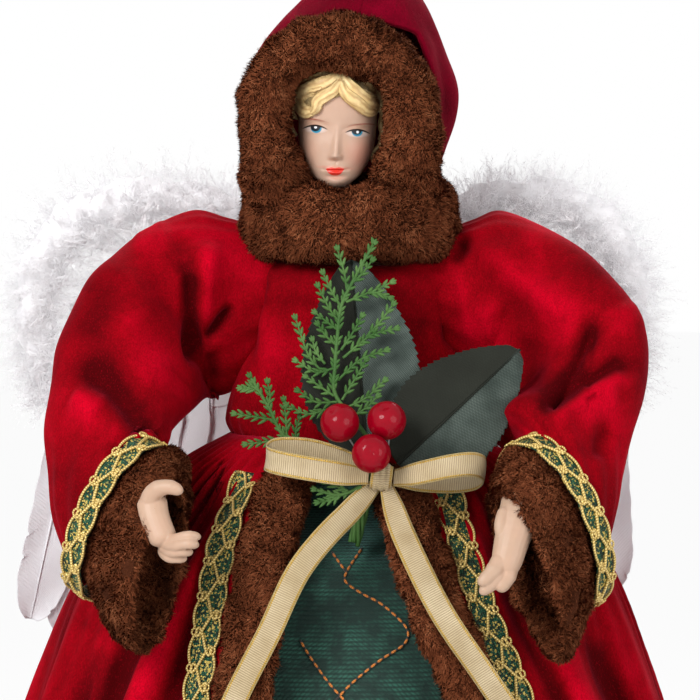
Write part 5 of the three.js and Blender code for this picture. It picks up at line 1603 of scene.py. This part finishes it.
face_half = profile([
    [55, 3], [60, 15], [68, 26], [80, 34], [95, 38], [109, 39.4], [125, 39.2], [140, 38.2], [149, 36.8],
    [157.5, 34.4], [165, 31.2], [171.6, 27.4], [176.5, 22.8], [180.3, 18.2], [183.6, 13.6], [186.3, 8.8],
    [188, 4.6], [188.8, 1.4],
])
face_middle = profile([
    [55, 338], [95, 337.5], [125, 337.3], [147, 336.7], [157.5, 336.1], [171.6, 335.3], [180, 336], [188.8, 336.2],
])
face_front = profile([
    [55, -8], [60, -12], [70, -16.3], [85, -20], [100, -21.6], [115, -21.4], [130, -20.8], [145, -20.7], [160, -20.3],
    [170, -19.9], [176, -19.6], [180, -19.6], [184, -19.1], [187, -18], [188.8, -16.6],
])
face_back = profile([
    [55, -3], [62, 2], [75, 7], [90, 9.5], [110, 10], [130, 8.5], [145, 6], [160, 2], [170, -2], [178, -6],
    [184, -9], [188.8, -12.4],
])
hairline = profile([
    [280, 100], [294, 101], [297, 105.5], [299.3, 109.8], [304.7, 113.2], [311.2, 115], [315.6, 114],
    [318.4, 110.6], [320, 105.6], [323, 102.4], [328.5, 100.1], [335, 98.1], [339.4, 96.6], [345.9, 98],
    [352.4, 102.3], [360, 107.7], [363.6, 111.6], [368.6, 114.2], [374, 112], [378.4, 107.7], [384, 104], [398, 103],
])


def face_relief(x, y):
    """How far the features stand out of the face, in millimetres."""

    def spot(cx, cy, rx, ry, turn=0.0):
        """A soft round hill."""
        c, s = math.cos(turn), math.sin(turn)
        a, b = (x - cx) * c + (y - cy) * s, (y - cy) * c - (x - cx) * s
        return np.exp(-((a / rx) ** 2) - (b / ry) ** 2)

    down = np.clip((y - 124) / 33, 0, 1.2)
    ridge_x = 338.4 - 3.2 * down
    nose = (0.35 + 1.8 * down**1.5) * hill(x, ridge_x, 3.1 + 2.1 * down)
    nose = nose * ease((y - 120) / 10) * ease((161.5 - y) / 5.5)
    nose += 0.35 * spot(331.0, 156.4, 2.2, 2.2) + 0.35 * spot(340.6, 156.8, 2.2, 2.2)
    sockets = -0.95 * spot(315, 128.5, 12.5, 7.5, 0.08) - 0.95 * spot(357.5, 132, 12.5, 7.5, 0.08)
    balls = 0.75 * spot(315, 129.2, 8.6, 4.4, 0.08) + 0.75 * spot(357.5, 133, 8.6, 4.4, 0.08)
    lids = 0.0
    for cx, cy, bend in ((314.3, 125.4, 0.0235), (356.5, 129.7, 0.0216)):
        above = cy + bend * (x - cx) ** 2 - y
        lids = lids + 0.3 * hill(above, 1.1, 1.0) * hill(x, cx, 10)
        lids = lids - 0.22 * hill(above, 4.4, 0.9) * hill(x, cx, 10)
    brows = 0.35 * spot(313, 119.5, 11, 3.4, 0.08) + 0.35 * spot(362, 124, 11, 3.4, -0.03)
    upper = 0.5 * hill(y - 0.012 * (x - 335) ** 2, 168.6, 1.8) * hill(x, 335, 8.5)
    lower = 0.62 * spot(335.2, 172.9, 7, 2)
    between = -0.42 * hill(y + 0.006 * (x - 335) ** 2, 170.4, 0.85) * hill(x, 335, 9.5)
    mouth = upper + lower + between - 0.2 * spot(323.6, 168.8, 2.2, 2) - 0.2 * spot(347, 169.6, 2.2, 2)
    mouth += 0.45 * spot(335.2, 169, 13, 8)
    groove = -0.3 * spot(336, 162.8, 1.5, 2.4)
    chin = 0.75 * spot(336, 182.6, 8.5, 5.2) - 0.35 * spot(335.6, 177.2, 7, 2)
    cheeks = 0.5 * spot(310, 150, 12, 12) + 0.5 * spot(361, 152, 12, 12)
    return nose + sockets + balls + lids + brows + mouth + groove + chin + cheeks


def head_depth(x, y):
    """Depth of the head's front at a place, or of its side where the place is beside it."""
    s = np.clip((x - face_middle(y)) / face_half(y), -1, 1)
    front, back = face_front(y), face_back(y)
    return (front + back) / 2 - (back - front) / 2 * np.sqrt(1 - s**2) ** 0.8


def in_hair(x, y):
    return ease((hairline(x) - y) / 2.2 + 0.5)


SKIN_DEPTH = (0.002, 0.001, 0.0006)


def skin_finish():
    """Painted resin. The face is drawn on in pixels of the photograph."""
    f = Finish("painted face")
    u, v, _ = f.parts(f.cloth)

    def ring(cx, cy, rx, ry, soft, turn=0.0):
        c, s = math.cos(turn), math.sin(turn)
        a, b = ((u - cx) * c + (v - cy) * s) / rx, ((v - cy) * c - (u - cx) * s) / ry
        away = (a * a + b * b) ** 0.5
        return ((1 - away) / soft + 0.5).clamp()

    def stroke(cx, cy, bend, start, end, thick, soft=0.5):
        """A painted line, thickest in its middle."""
        across = (v - cy - (u - cx) * (u - cx) * bend).abs()
        share = (u - start) / (end - start)
        body = (share * (1 - share) * 4).clamp() ** 0.5
        return ((body * thick - across) / soft + 0.5).clamp() * share.above(0, 0.02) * (1 - share.above(1, 0.02))

    mottle = f.noise(5, 2)
    color = f.mix(mottle, (0.51, 0.325, 0.235), (0.57, 0.37, 0.27))
    # Blush on both cheeks. The right one is painted stronger and darker, partly as shade on that side of the face
    color = f.mix(ring(364, 156, 15, 15, 1.1) * 0.6, color, (0.60, 0.23, 0.16))
    color = f.mix(ring(304, 153, 12, 14, 1.1) * 0.22, color, (0.7, 0.3, 0.2))
    color = f.mix(ring(335.6, 177.3, 9, 2.6, 1.0) * 0.35, color, (0.75, 0.3, 0.22))
    # Painted shade down the right side of the nose, and under its tip
    color = f.mix(ring(344.5, 147, 4.2, 13, 1.2, -0.06) * 0.3, color, (0.5, 0.27, 0.17))
    color = f.mix(ring(333.5, 158.8, 5.5, 1.3, 1.0) * 0.45, color, (0.55, 0.25, 0.15))
    # Painted shade in the creases above the eyes
    for cx, cy, turn in ((314.6, 122.8, 0.07), (358.6, 127.2, 0.03)):
        color = f.mix(ring(cx, cy, 13, 2.6, 1.2, turn) * 0.35, color, (0.52, 0.26, 0.16))
    for cx, cy, bend, start, end, iris_x, iris_y, dot_x, dot_y in (
            (314.3, 125.5, 0.0235, 302, 327.4, 316.3, 128.2, 315.6, 127.2),
            (356.5, 129.8, 0.0216, 345.4, 370.2, 357.2, 131.6, 357.6, 132.0)):
        below = v - cy - (u - cx) * (u - cx) * bend
        under_lid = below.above(0, 0.5)
        white = ring(cx + 1, cy + 3.6, 10.5, 3.6, 0.5, 0.06) * under_lid
        color = f.mix(white * 0.5, color, (0.80, 0.70, 0.66))
        iris = ring(iris_x, iris_y, 5.4, 4.9, 0.16) * under_lid
        dark = ring(iris_x - 0.7, iris_y - 1.0, 5.0, 4.1, 0.2) * under_lid
        color = f.mix(iris, color, (0.035, 0.27, 0.42))
        color = f.mix(dark, color, (0.004, 0.008, 0.014))
        color = f.mix(ring(dot_x, dot_y, 1.35, 1.35, 0.5), color, (0.95, 0.95, 0.95))
        color = f.mix(stroke(cx, cy, bend, start, end, 0.95), color, (0.02, 0.012, 0.01))
    left_brow = stroke(307.5, 118.9, 0.009, 301, 329, 0.62, 0.8) * (1 - u.above(319, 14) * 0.75)
    right_brow = stroke(366, 123.9, 0.0095, 346.5, 378, 0.62, 0.8) * (0.45 + u.above(358, 14) * 0.5)
    for brow in (left_brow, right_brow):
        color = f.mix(brow, color, (0.36, 0.085, 0.05))
    away = u - 335.1
    bow = ((away * away) * -0.18).math("EXPONENT")
    top = 167.1 + away * away * 0.02 + bow * 1.2
    low = 175.6 - away * away * 0.045 - away * away * away * away * 0.0004
    lips = (v - top).above(0, 0.6) * (low - v).above(0, 0.6)
    color = f.mix(ring(335.3, 167.6, 15.5, 1.6, 0.9, 0.06) * 0.5, color, (0.72, 0.24, 0.17))
    color = f.mix(lips, color, (0.74, 0.035, 0.02))
    rough = 0.46 - lips * 0.14
    return f.surface(color, rough.clamp(), Specular_IOR_Level=0.4, Subsurface_Weight=0.08,
                     Subsurface_Radius=SKIN_DEPTH, Normal=f.bump(f.noise(0.5, 1), 0.02))


def plain_skin_finish():
    f = Finish("painted skin")
    mottle = f.noise(4, 2)
    warm = f.noise(9, 2).above(0.5, 0.4)
    color = f.mix(mottle, (0.46, 0.305, 0.21), (0.52, 0.355, 0.25))
    color = f.mix(warm * 0.15, color, (0.74, 0.38, 0.27))
    return f.surface(color, 0.48, Specular_IOR_Level=0.4, Subsurface_Weight=0.08,
                     Subsurface_Radius=SKIN_DEPTH, Normal=f.bump(mottle, 0.04))


def hair_finish():
    """Moulded hair: yellow, turning brown in its grooves. Its cloth runs along each lock and once round it."""
    f = Finish("moulded hair")
    _, v, _ = f.parts(f.cloth)
    groove = ((v * 7 + f.noise(3, 2) * 1.1) * (2 * math.pi)).sin() * 0.5 + 0.5
    patch = f.noise(4, 2)
    color = f.mix(patch, (0.76, 0.50, 0.18), (0.92, 0.72, 0.38))
    color = f.mix((1 - groove) ** 2.0 * 0.5, color, (0.34, 0.13, 0.035))
    return f.surface(color, 0.45, Specular_IOR_Level=0.45, Normal=f.bump(groove, 0.18))


painted_face = skin_finish()
painted_skin = plain_skin_finish()
moulded_hair = hair_finish()

# Locks: the places they pass, how broad and how thick they are, and how far they stand off the head
HAIR_LOCKS = [
    ([(341, 74), (331, 82), (315, 88), (302, 95), (300, 104), (305, 111), (313, 112)], 3.0, 1.3, 0.9),
    ([(340, 82), (334, 90), (325, 96), (318, 101), (316, 108), (312, 113)], 2.0, 1.0, 1.5),
    ([(333, 72), (316, 80), (300, 86), (291, 93), (290, 101), (295, 106)], 2.3, 1.2, 0.6),
    ([(322, 88), (308, 92), (297, 92), (290, 90)], 1.3, 0.8, 1.5),
    ([(297, 95), (289, 101), (287, 108), (291, 114), (296, 117)], 1.5, 1.0, 0.1),
    ([(296, 104), (292, 109), (293, 115), (298, 119)], 1.0, 0.8, 0.0),
    ([(341, 74), (347, 84), (355, 92), (363, 99), (370, 104), (380, 105), (384, 101)], 2.5, 1.3, 0.9),
    ([(341, 82), (344, 91), (350, 97), (358, 103), (365, 109), (371, 112), (378, 109)], 2.0, 1.1, 1.5),
    ([(348, 72), (361, 79), (373, 87), (381, 96), (386, 104)], 2.3, 1.2, 0.6),
    ([(352, 86), (362, 92), (371, 96), (379, 97)], 1.2, 0.8, 1.6),
    ([(292, 112), (288, 120), (290, 129), (296, 136)], 1.6, 1.2, -0.2),
    ([(383, 98), (388, 106), (387, 114), (383, 121)], 1.4, 1.0, 0.1),
    ([(379, 104), (384, 114), (382, 126), (384, 137)], 1.6, 1.2, 0.0),
    ([(384, 112), (386, 122), (383, 132), (379, 140)], 1.2, 0.9, -0.2),
    ([(382, 138), (380, 147), (375, 153), (374, 160), (378, 163)], 1.4, 1.0, -0.2),
]
# Rows of height, half width and half depth
NECK_ROWS = np.array([
    [309, 17, 9], [311, 15.5, 9], [314, 11.5, 8], [318, 7.6, 7], [324, 6, 6.3], [333, 4.6, 6.2], [344, 4.6, 6.4],
])


def make_head():
    rows, columns = 230, 420
    py = np.linspace(188.8, 55, rows)[:, None] + np.zeros((1, columns))
    turn = full_turn(columns)[None, :] + np.zeros((rows, 1))
    px = face_middle(py) + face_half(py) * np.sin(turn)
    facing = np.cos(turn)
    front, back = face_front(py), face_back(py)
    y = (front + back) / 2 - (back - front) / 2 * np.sign(facing) * np.abs(facing) ** np.where(facing > 0, 0.8, 1)
    hair = np.where(facing > 0.18, in_hair(px, py), ease((0.3 - facing) / 0.24))
    on_front = ease(facing * 3)
    strands = 0.14 * np.sin((px - 340) * 0.9 + 0.25 * (py - 80)) * in_hair(px, py)
    y = y - on_front * (face_relief(px, py) * (1 - in_hair(px, py)) + 0.8 * in_hair(px, py) + strands)
    points = from_photo(np.stack([px, py], -1), y)
    points = points[:, ::-1]
    px, py, hair = px[:, ::-1], py[:, ::-1], hair[:, ::-1]
    close = lambda g: np.concatenate([g, g[:, :1]], 1)
    shape = Shape()
    cell = lambda g: (g[:-1] + g[1:]) / 2
    hairy = (cell(hair) + np.roll(cell(hair), -1, 1)) / 2 > 0.5
    shape.solid(points, np.stack([close(px), close(py)], -1), hairy.ravel().astype(int), end_slots=(0, 1))
    for line, breadth, thick, raised in HAIR_LOCKS:
        t = np.linspace(0, 1, 46)
        at = spline(line)(t)
        beside = np.abs(at[:, 0] - face_middle(at[:, 1])) / face_half(at[:, 1])
        half_way = (face_front(at[:, 1]) + face_back(at[:, 1])) / 2
        depth = np.where(beside < 1, head_depth(at[:, 0], at[:, 1]), half_way)
        path = from_photo(at, depth - raised)
        taper = (0.3 + 0.7 * np.sin(np.pi * np.clip(t * 0.9 + 0.08, 0, 1)) ** 0.6)
        normal = np.stack([np.clip((at[:, 0] - 337) / 40, -1, 1) ** 3, -np.ones(46), 0 * t], -1)
        shape.tube(path, breadth * taper, 20, slot=1, flat=thick / breadth, up=unit(normal),
                   wobble=lambda i, a: 1 + 0.06 * np.cos(7 * a + 0.05 * i) + 0.03 * np.cos(12 * a))
    z = np.linspace(NECK_ROWS[0, 0], NECK_ROWS[-1, 0], 40)[:, None]
    round_ = full_turn(60)[None, :]
    wide, deep = profile(NECK_ROWS[:, [0, 1]])(z), profile(NECK_ROWS[:, [0, 2]])(z)
    middle_x, middle_y = -4.2 * ease((z - 312) / 20), 1 - 4.5 * ease((z - 318) / 24)
    body = np.stack([middle_x + wide * np.sin(round_), middle_y - deep * np.cos(round_), z + 0 * round_], -1)
    shape.solid(body, slot=2)
    settle(shape.make("painted_head", [painted_face, moulded_hair, painted_skin]), "angel", "resin", "head")


make_head()

# Hands: castings with a forearm, bent fingers and a thumb, melted into one skin.
# Each line passes places in pixels of the photograph at a depth, with its radii from start to end.

HANDS = {
    "left": [
        ([(153, 482, -60), (151, 495, -72), (152, 511, -80)], [4.4, 4.2], 0.9),
        ([(151, 495, -78), (155, 518, -81), (166, 545, -84)], [4.6, 4.1], 0.7),
        ([(147, 508, -79), (154, 492, -81), (168, 487, -83), (183, 492, -84)], [3.2, 1.7], 0.9),
        ([(160, 536, -81), (172, 540, -85), (187, 536, -88), (201, 537, -87)], [1.9, 1.3], 0.92),
        ([(160, 541, -81), (172, 546, -86), (187, 544, -89), (199, 545, -88)], [1.9, 1.3], 0.92),
        ([(160, 545, -81), (170, 552, -85), (182, 552, -87), (193, 552, -86)], [1.8, 1.25], 0.92),
        ([(160, 548, -80), (167, 557, -84), (178, 559, -85), (187, 558, -84)], [1.6, 1.1], 0.92),
    ],
    "right": [
        ([(524, 480, -62), (520, 498, -70), (519, 515, -76), (512, 540, -80), (507, 560, -82), (502, 574, -84)],
         [4.0, 5.2, 6.0, 5.2, 4.6, 3.9], 0.72),
        ([(506, 508, -77), (501, 524, -80), (501, 538, -81)], [2.2, 2.0, 1.6], 0.9),
        ([(503, 556, -82), (493, 572, -85), (479, 585, -87)], [2.9, 2.5, 1.7], 0.85),
        ([(505, 562, -82), (495, 580, -85), (480, 594, -86)], [2.5, 2.2, 1.5], 0.85),
        ([(511, 562, -81), (507, 578, -84), (498, 591, -86)], [2.8, 2.4, 1.8], 0.85),
    ],
}


def melted(piece, grain, rounds):
    """Joins overlapping solids into one smooth skin."""
    remesh = piece.modifiers.new("melt", "REMESH")
    remesh.mode, remesh.voxel_size, remesh.use_smooth_shade = "VOXEL", grain * MM, True
    smooth = piece.modifiers.new("soften", "SMOOTH")
    smooth.factor, smooth.iterations = 0.5, rounds
    skin = bpy.data.meshes.new_from_object(piece.evaluated_get(bpy.context.evaluated_depsgraph_get()))
    skin.name = piece.name
    piece.modifiers.clear()
    old, piece.data = piece.data, skin
    bpy.data.meshes.remove(old)
    skin.shade_smooth()
    return piece


def rounded(t, start, length, least):
    """Draws a form in to a round end beyond start."""
    return np.sqrt(np.clip(1 - ((t - start) / length).clip(0, 1) ** 2, least, 1))


def hand(name):
    shape = Shape()
    t = np.linspace(0, 1, 26)
    for k, (line, radii, flat) in enumerate(HANDS[name]):
        at = spline(line)(t)
        size = profile(np.stack([np.linspace(0, 1, len(radii)), radii], -1))(t) * rounded(t, 0.84, 0.17, 0.02)
        if k > 0:
            size = size * rounded(-t, -0.2, 0.21, 0.02)
        if k > 1:
            size = size * (1 + 0.06 * hill(t, 0.45, 0.06) + 0.05 * hill(t, 0.75, 0.05))
        shape.tube(from_photo(at[:, :2], at[:, 2]), size, 18, flat=flat)
    piece = melted(shape.make(name + "_painted_hand", [painted_skin]), 0.22, 9)
    settle(piece, name + "_arm", "resin", name + "_hand")


for name in SIDES:
    hand(name)

# Wings: a fan of quill feathers under a roll of down

WING_SPAN = 100
WING_FOOT = 257
DOWN_SHARES = [[0.2, 0.6], [0.45, 0.7], [0.7, 0.715], [0.9, 0.63], [1.005, 0.45], [1.015, 0.23], [0.985, 0.04]]
DOWN_RADIUS = 11.5
PLUMES = 3600
BARBS = 26


def wing_depth(x, z):
    return 34 + 0.36 * np.maximum(0, 317.5 - z) + 0.08 * np.abs(x)


def feather_finish(name, cool):
    f = Finish(name)
    u, v, _ = f.parts(f.cloth)
    barb = ((v * 1.0 - u.abs() * 0.55) * (math.pi / 0.5)).sin().abs()
    shade = f.noise(14, 2)
    color = f.mix(shade, (0.84 - cool, 0.83 - cool, 0.85), (0.93, 0.92, 0.93))
    color = f.mix(barb * 0.15, color, (0.70, 0.69, 0.73))
    return f.surface(color, 0.7, Sheen_Weight=0.2, Normal=f.bump(barb, 0.12))


white_feather = feather_finish("white feather", 0.02)
white_down = Finish("white down").surface((0.95, 0.94, 0.955), 0.9, Sheen_Weight=0.3, Specular_IOR_Level=0.1)


def down_path(sign, t):
    rows = np.array(DOWN_SHARES) * WING_SPAN
    at = spline(rows)(t) * [1 if sign < 0 else 0.89, 1]
    return np.stack([sign * at[:, 0], wing_depth(at[:, 0], WING_FOOT + at[:, 1]) + 6, WING_FOOT + at[:, 1]], -1)


def plumes(name, roots, ways, lengths, seed):
    """Soft plumes: a bent rib with fine barbs on both sides that thin out to the tip."""
    rng = np.random.default_rng(seed)
    count = len(roots)
    bend = unit(rng.normal(size=(count, 3)) + [0, 0, -0.35])
    t = np.linspace(0.12, 1, BARBS)[None, :, None]
    long = lengths[:, None, None]
    rib = roots[:, None] + ways[:, None] * (long * t) + bend[:, None] * (0.38 * long * t**2)
    along = unit(np.gradient(rib, axis=1))
    side = unit(np.cross(along, rng.normal(size=(count, 1, 3))))
    hand = np.where(np.arange(BARBS) % 2, 1.0, -1.0)[None, :, None]
    spread = side * hand + 0.35 * rng.normal(size=rib.shape)
    reach = long * (0.42 * (1 - 0.7 * t)) * rng.uniform(0.6, 1.2, (count, BARBS, 1))
    first = rib + unit(spread + along * 0.5) * reach * 0.55
    last = first + unit(spread + along * 1.1 + 0.6 * rng.normal(size=rib.shape)) * reach * 0.6
    wide = unit(np.cross(along, spread)) * 0.055
    points = np.stack([rib - wide, rib + wide, first - wide * 0.8, first + wide * 0.8, last], 2)
    shape = Shape()
    strands(shape, points.reshape(-1, 5, 3))
    return shape.make(name, [white_down])


def wing_down(name, sign):
    rng = np.random.default_rng(70 + sign)
    t = np.linspace(0, 1, 120)
    path = down_path(sign, t)
    radius = (DOWN_RADIUS - 4.6) * np.sqrt(np.clip(np.sin(np.pi * (t * 0.96 + 0.02)), 0.03, 1))
    shape = Shape()
    shape.tube(path, radius, 40,
               wobble=lambda i, a: 1 + 0.13 * np.sin(i * 0.35 + 2 * a) + 0.08 * np.sin(i * 0.8 - 3 * a))
    settle(shape.make(name + "_down_roll", [white_down]), "angel", "down", name + "_wing_down")
    count = PLUMES
    pick = rng.uniform(0, 1, count)
    inward = np.where(rng.random(count) < 0.5, 0, rng.uniform(0.08, 0.62, count))[:, None]
    shoulder = np.array([sign * 30, 0, WING_FOOT + 28])
    middle = down_path(sign, pick) * (1 - inward) + shoulder * inward
    middle[:, 1] = wing_depth(middle[:, 0], middle[:, 2]) + 6 - 9 * (inward[:, 0] > 0)
    along = unit(down_path(sign, np.clip(pick + 0.01, 0, 1)) - down_path(sign, np.clip(pick - 0.01, 0, 1)))
    out = unit(np.cross(along, rng.normal(size=(count, 3))))
    roots = middle + out * (np.interp(pick, t, radius) * rng.uniform(0.6, 1.0, count) * (inward[:, 0] == 0))[:, None]
    away = unit((middle - shoulder) * [1, 0.2, 1])
    inner_ways = unit(away + [0, -0.5, -0.25] + 0.4 * rng.normal(size=(count, 3)))
    outer_ways = out + 0.5 * away + 0.4 * rng.normal(size=(count, 3)) + along * rng.normal(0, 0.3, (count, 1))
    ways = np.where(inward > 0, inner_ways, unit(outer_ways))
    lengths = rng.uniform(5, 11.5, count) + 3 * (inward[:, 0] > 0)
    settle(plumes(name + "_down_plumes", roots, ways, lengths, 80 + sign), "angel", "down")


QUILLS = 8
QUILL_LENGTH = 104
QUILL_WIDTH = 17


def wing_quills(name, sign):
    lean, fan, size = (0.06, 0.025, 1.0) if sign < 0 else (-0.06, 0.02, 0.86)
    shape = Shape()
    t = np.linspace(0, 1, 150)[:, None]
    w = np.linspace(-1, 1, 41)[None, :]
    for k in range(QUILLS):
        rng = np.random.default_rng(90 + k)
        out, up = 0.26 + 0.58 * k / (QUILLS - 1), 0.22 + 0.06 * math.sin(math.pi * k / QUILLS)
        root = np.array([sign * out * WING_SPAN * (1 if sign < 0 else 0.96), 0, WING_FOOT + up * WING_SPAN])
        swing = lean + fan * k
        way = np.array([sign * math.sin(swing), 0, -math.cos(swing)])
        side = np.array([-way[2], 0, way[0]])
        length = QUILL_LENGTH * size * (0.78 + 0.24 * math.sin(math.pi * (k + 1) / 10))
        round_tip = rounded(t, 0.82, 0.185, 0.003)
        edge = 1 + 0.02 * np.sin(t * 60 + k)
        half = QUILL_WIDTH / 2 * np.minimum(1, 0.35 + 2.6 * t) * round_tip * edge * np.where(w * sign > 0, 0.85, 1.1)
        nick = 0
        for _ in range(3):
            split = hill(t - 0.25 * np.abs(w) / 4, rng.uniform(0.35, 0.9), 0.006)
            nick = nick + 0.5 * split * (w * rng.choice([-1, 1]) > 0.35)
        half = half * (1 - 0.3 * np.clip(nick, 0, 1) * np.abs(w))
        at = root + way * (length * t)[..., None] + side * (w * half)[..., None]
        curve = 3.0 * t**2 * size - 1.2 * w**2 * t
        at[..., 1] = wing_depth(at[..., 0], at[..., 2]) + 2.2 - 1.0 * k + curve + 0.25 * np.sin(20 * t + 3 * w + k)
        places = np.stack(np.broadcast_arrays(w * half, length * t), -1)
        if surface_normals(at)[..., 1].mean() > 0:
            at, places = at[:, ::-1], places[:, ::-1]
        shape.cloth(at, 0.25, places)
        rib = at[:, 20] + [0, -0.25, 0]
        shape.tube(rib, 0.85 * (1.08 - t[:, 0]), 7)
    settle(shape.make(name + "_quill_feathers", [white_feather]), "angel", "feather", name + "_wing_quills")


for name, sign in SIDES.items():
    wing_down(name, sign)
    wing_quills(name, sign)

# Inner pieces keep their CAD solids


def card_finish(name, dark, pale):
    """Pressed card: a mottled ground with short fibres."""
    f = Finish(name)
    fibre = f.noise(0.5, 3, 0.6, vector=f.stretched(3.0))
    cloud = f.noise(8, 3, 0.6)
    color = f.mix(fibre * 0.6 + cloud * 0.4, dark, pale)
    return f.surface(color, 0.85, Specular_IOR_Level=0.2, Normal=f.bump(fibre, 0.12))


def foam_finish():
    """White bead foam: rounded cells with fine seams."""
    f = Finish("white foam")
    beads = f.cells(2.6)
    color = f.mix(beads.above(0.6, 0.4), (0.88, 0.88, 0.86), (0.72, 0.72, 0.70))
    return f.surface(color, 0.8, Specular_IOR_Level=0.3, Normal=f.bump(1 - beads, 0.3))


brown_card = card_finish("brown card", (0.36, 0.25, 0.15), (0.52, 0.38, 0.24))
white_card = card_finish("white card", (0.74, 0.73, 0.74), (0.88, 0.87, 0.88))
white_foam = foam_finish()
INNER_PIECES = {
    "base_cone": brown_card, "torso_form": white_foam, "wing_block": white_foam,
    "left_wing_board": white_card, "right_wing_board": white_card,
    "shoulder_wire": steel_wire, "left_arm_wire": steel_wire, "right_arm_wire": steel_wire,
}
for name, finish in INNER_PIECES.items():
    nodes[name].data.materials.clear()
    nodes[name].data.materials.append(finish)

# Stage: a pale floor, soft studio light and the camera


LAMP_AIM = (0, -20, 270)


def lamp(name, place, size, power):
    data = bpy.data.lights.new(name, "AREA")
    data.shape, data.size, data.energy = "DISK", size * MM, power
    light = bpy.data.objects.new(name, data)
    light.location = Vector(place) * MM
    light.rotation_euler = (Vector(LAMP_AIM) * MM - light.location).to_track_quat("-Z", "Y").to_euler()
    bpy.context.scene.collection.objects.link(light)


def white_to_camera(tree, lit, plain, share):
    """Shows white to the camera and to reflections, and lights the object at its own level."""
    ray = tree.nodes.new("ShaderNodeLightPath").outputs
    seen = ray["Is Camera Ray"]
    for kind in ("Is Glossy Ray", "Is Transmission Ray"):
        most = tree.nodes.new("ShaderNodeMath")
        most.operation = "MAXIMUM"
        tree.links.new(seen, most.inputs[0])
        tree.links.new(ray[kind], most.inputs[1])
        seen = most.outputs[0]
    factor = tree.nodes.new("ShaderNodeMath")
    factor.operation = "MULTIPLY"
    tree.links.new(seen, factor.inputs[0])
    factor.inputs[1].default_value = share
    mix = tree.nodes.new("ShaderNodeMixShader")
    tree.links.new(factor.outputs[0], mix.inputs[0])
    tree.links.new(lit.outputs[0], mix.inputs[1])
    tree.links.new(plain.outputs[0], mix.inputs[2])
    return mix


WORLD_LEVEL = 0.40
FLOOR_GREY = 0.82
FLOOR_WHITE = 0.94
FLOOR_REACH = 6.0
SENSOR_WIDTH = 36


def make_stage():
    scene = bpy.context.scene
    scene.view_settings.view_transform = "Standard"
    world = bpy.data.worlds.new("studio")
    scene.world = world
    world.use_nodes = True
    tree = world.node_tree
    tree.nodes.clear()
    lit, plain = (tree.nodes.new("ShaderNodeBackground") for _ in range(2))
    lit.inputs[0].default_value = (1.0, 1.0, 1.0, 1)
    lit.inputs[1].default_value = WORLD_LEVEL
    mix = white_to_camera(tree, lit, plain, 1.0)
    plain.inputs[0].default_value = (1, 1, 1, 1)
    out = tree.nodes.new("ShaderNodeOutputWorld")
    tree.links.new(mix.outputs[0], out.inputs[0])

    paper = bpy.data.materials.new("white paper")
    paper.use_nodes = True
    tree = paper.node_tree
    tree.nodes.clear()
    sheet = tree.nodes.new("ShaderNodeBsdfPrincipled")
    sheet.inputs["Base Color"].default_value = (FLOOR_GREY, FLOOR_GREY, FLOOR_GREY, 1)
    sheet.inputs["Roughness"].default_value = 0.9
    glow = tree.nodes.new("ShaderNodeEmission")
    glow.inputs[0].default_value = (1, 1, 1, 1)
    mix = white_to_camera(tree, sheet, glow, FLOOR_WHITE)
    out = tree.nodes.new("ShaderNodeOutputMaterial")
    tree.links.new(mix.outputs[0], out.inputs[0])
    floor = bpy.data.meshes.new("floor")
    corners = [(x * FLOOR_REACH, y * FLOOR_REACH, 0) for x, y in ((-1, -1), (1, -1), (1, 1), (-1, 1))]
    floor.from_pydata(corners, [], [(0, 1, 2, 3)])
    floor.materials.append(paper)
    floor = bpy.data.objects.new("floor", floor)
    scene.collection.objects.link(floor)

    lamp("key lamp", (-750, -1100, 950), 700, 18.5)
    lamp("fill lamp", (900, -1000, 500), 900, 6)
    lamp("back lamp", (200, 900, 1000), 800, 8)

    eye, _, _, forward = camera_frame()
    data = bpy.data.cameras.new("camera")
    data.sensor_width = SENSOR_WIDTH
    data.lens = SENSOR_WIDTH * VIEW_DISTANCE / VIEW_WIDTH
    camera = bpy.data.objects.new("camera", data)
    camera.location = Vector(eye) * MM
    camera.rotation_euler = Vector(forward).to_track_quat("-Z", "Y").to_euler()
    scene.collection.objects.link(camera)
    scene.camera = camera


make_stage()
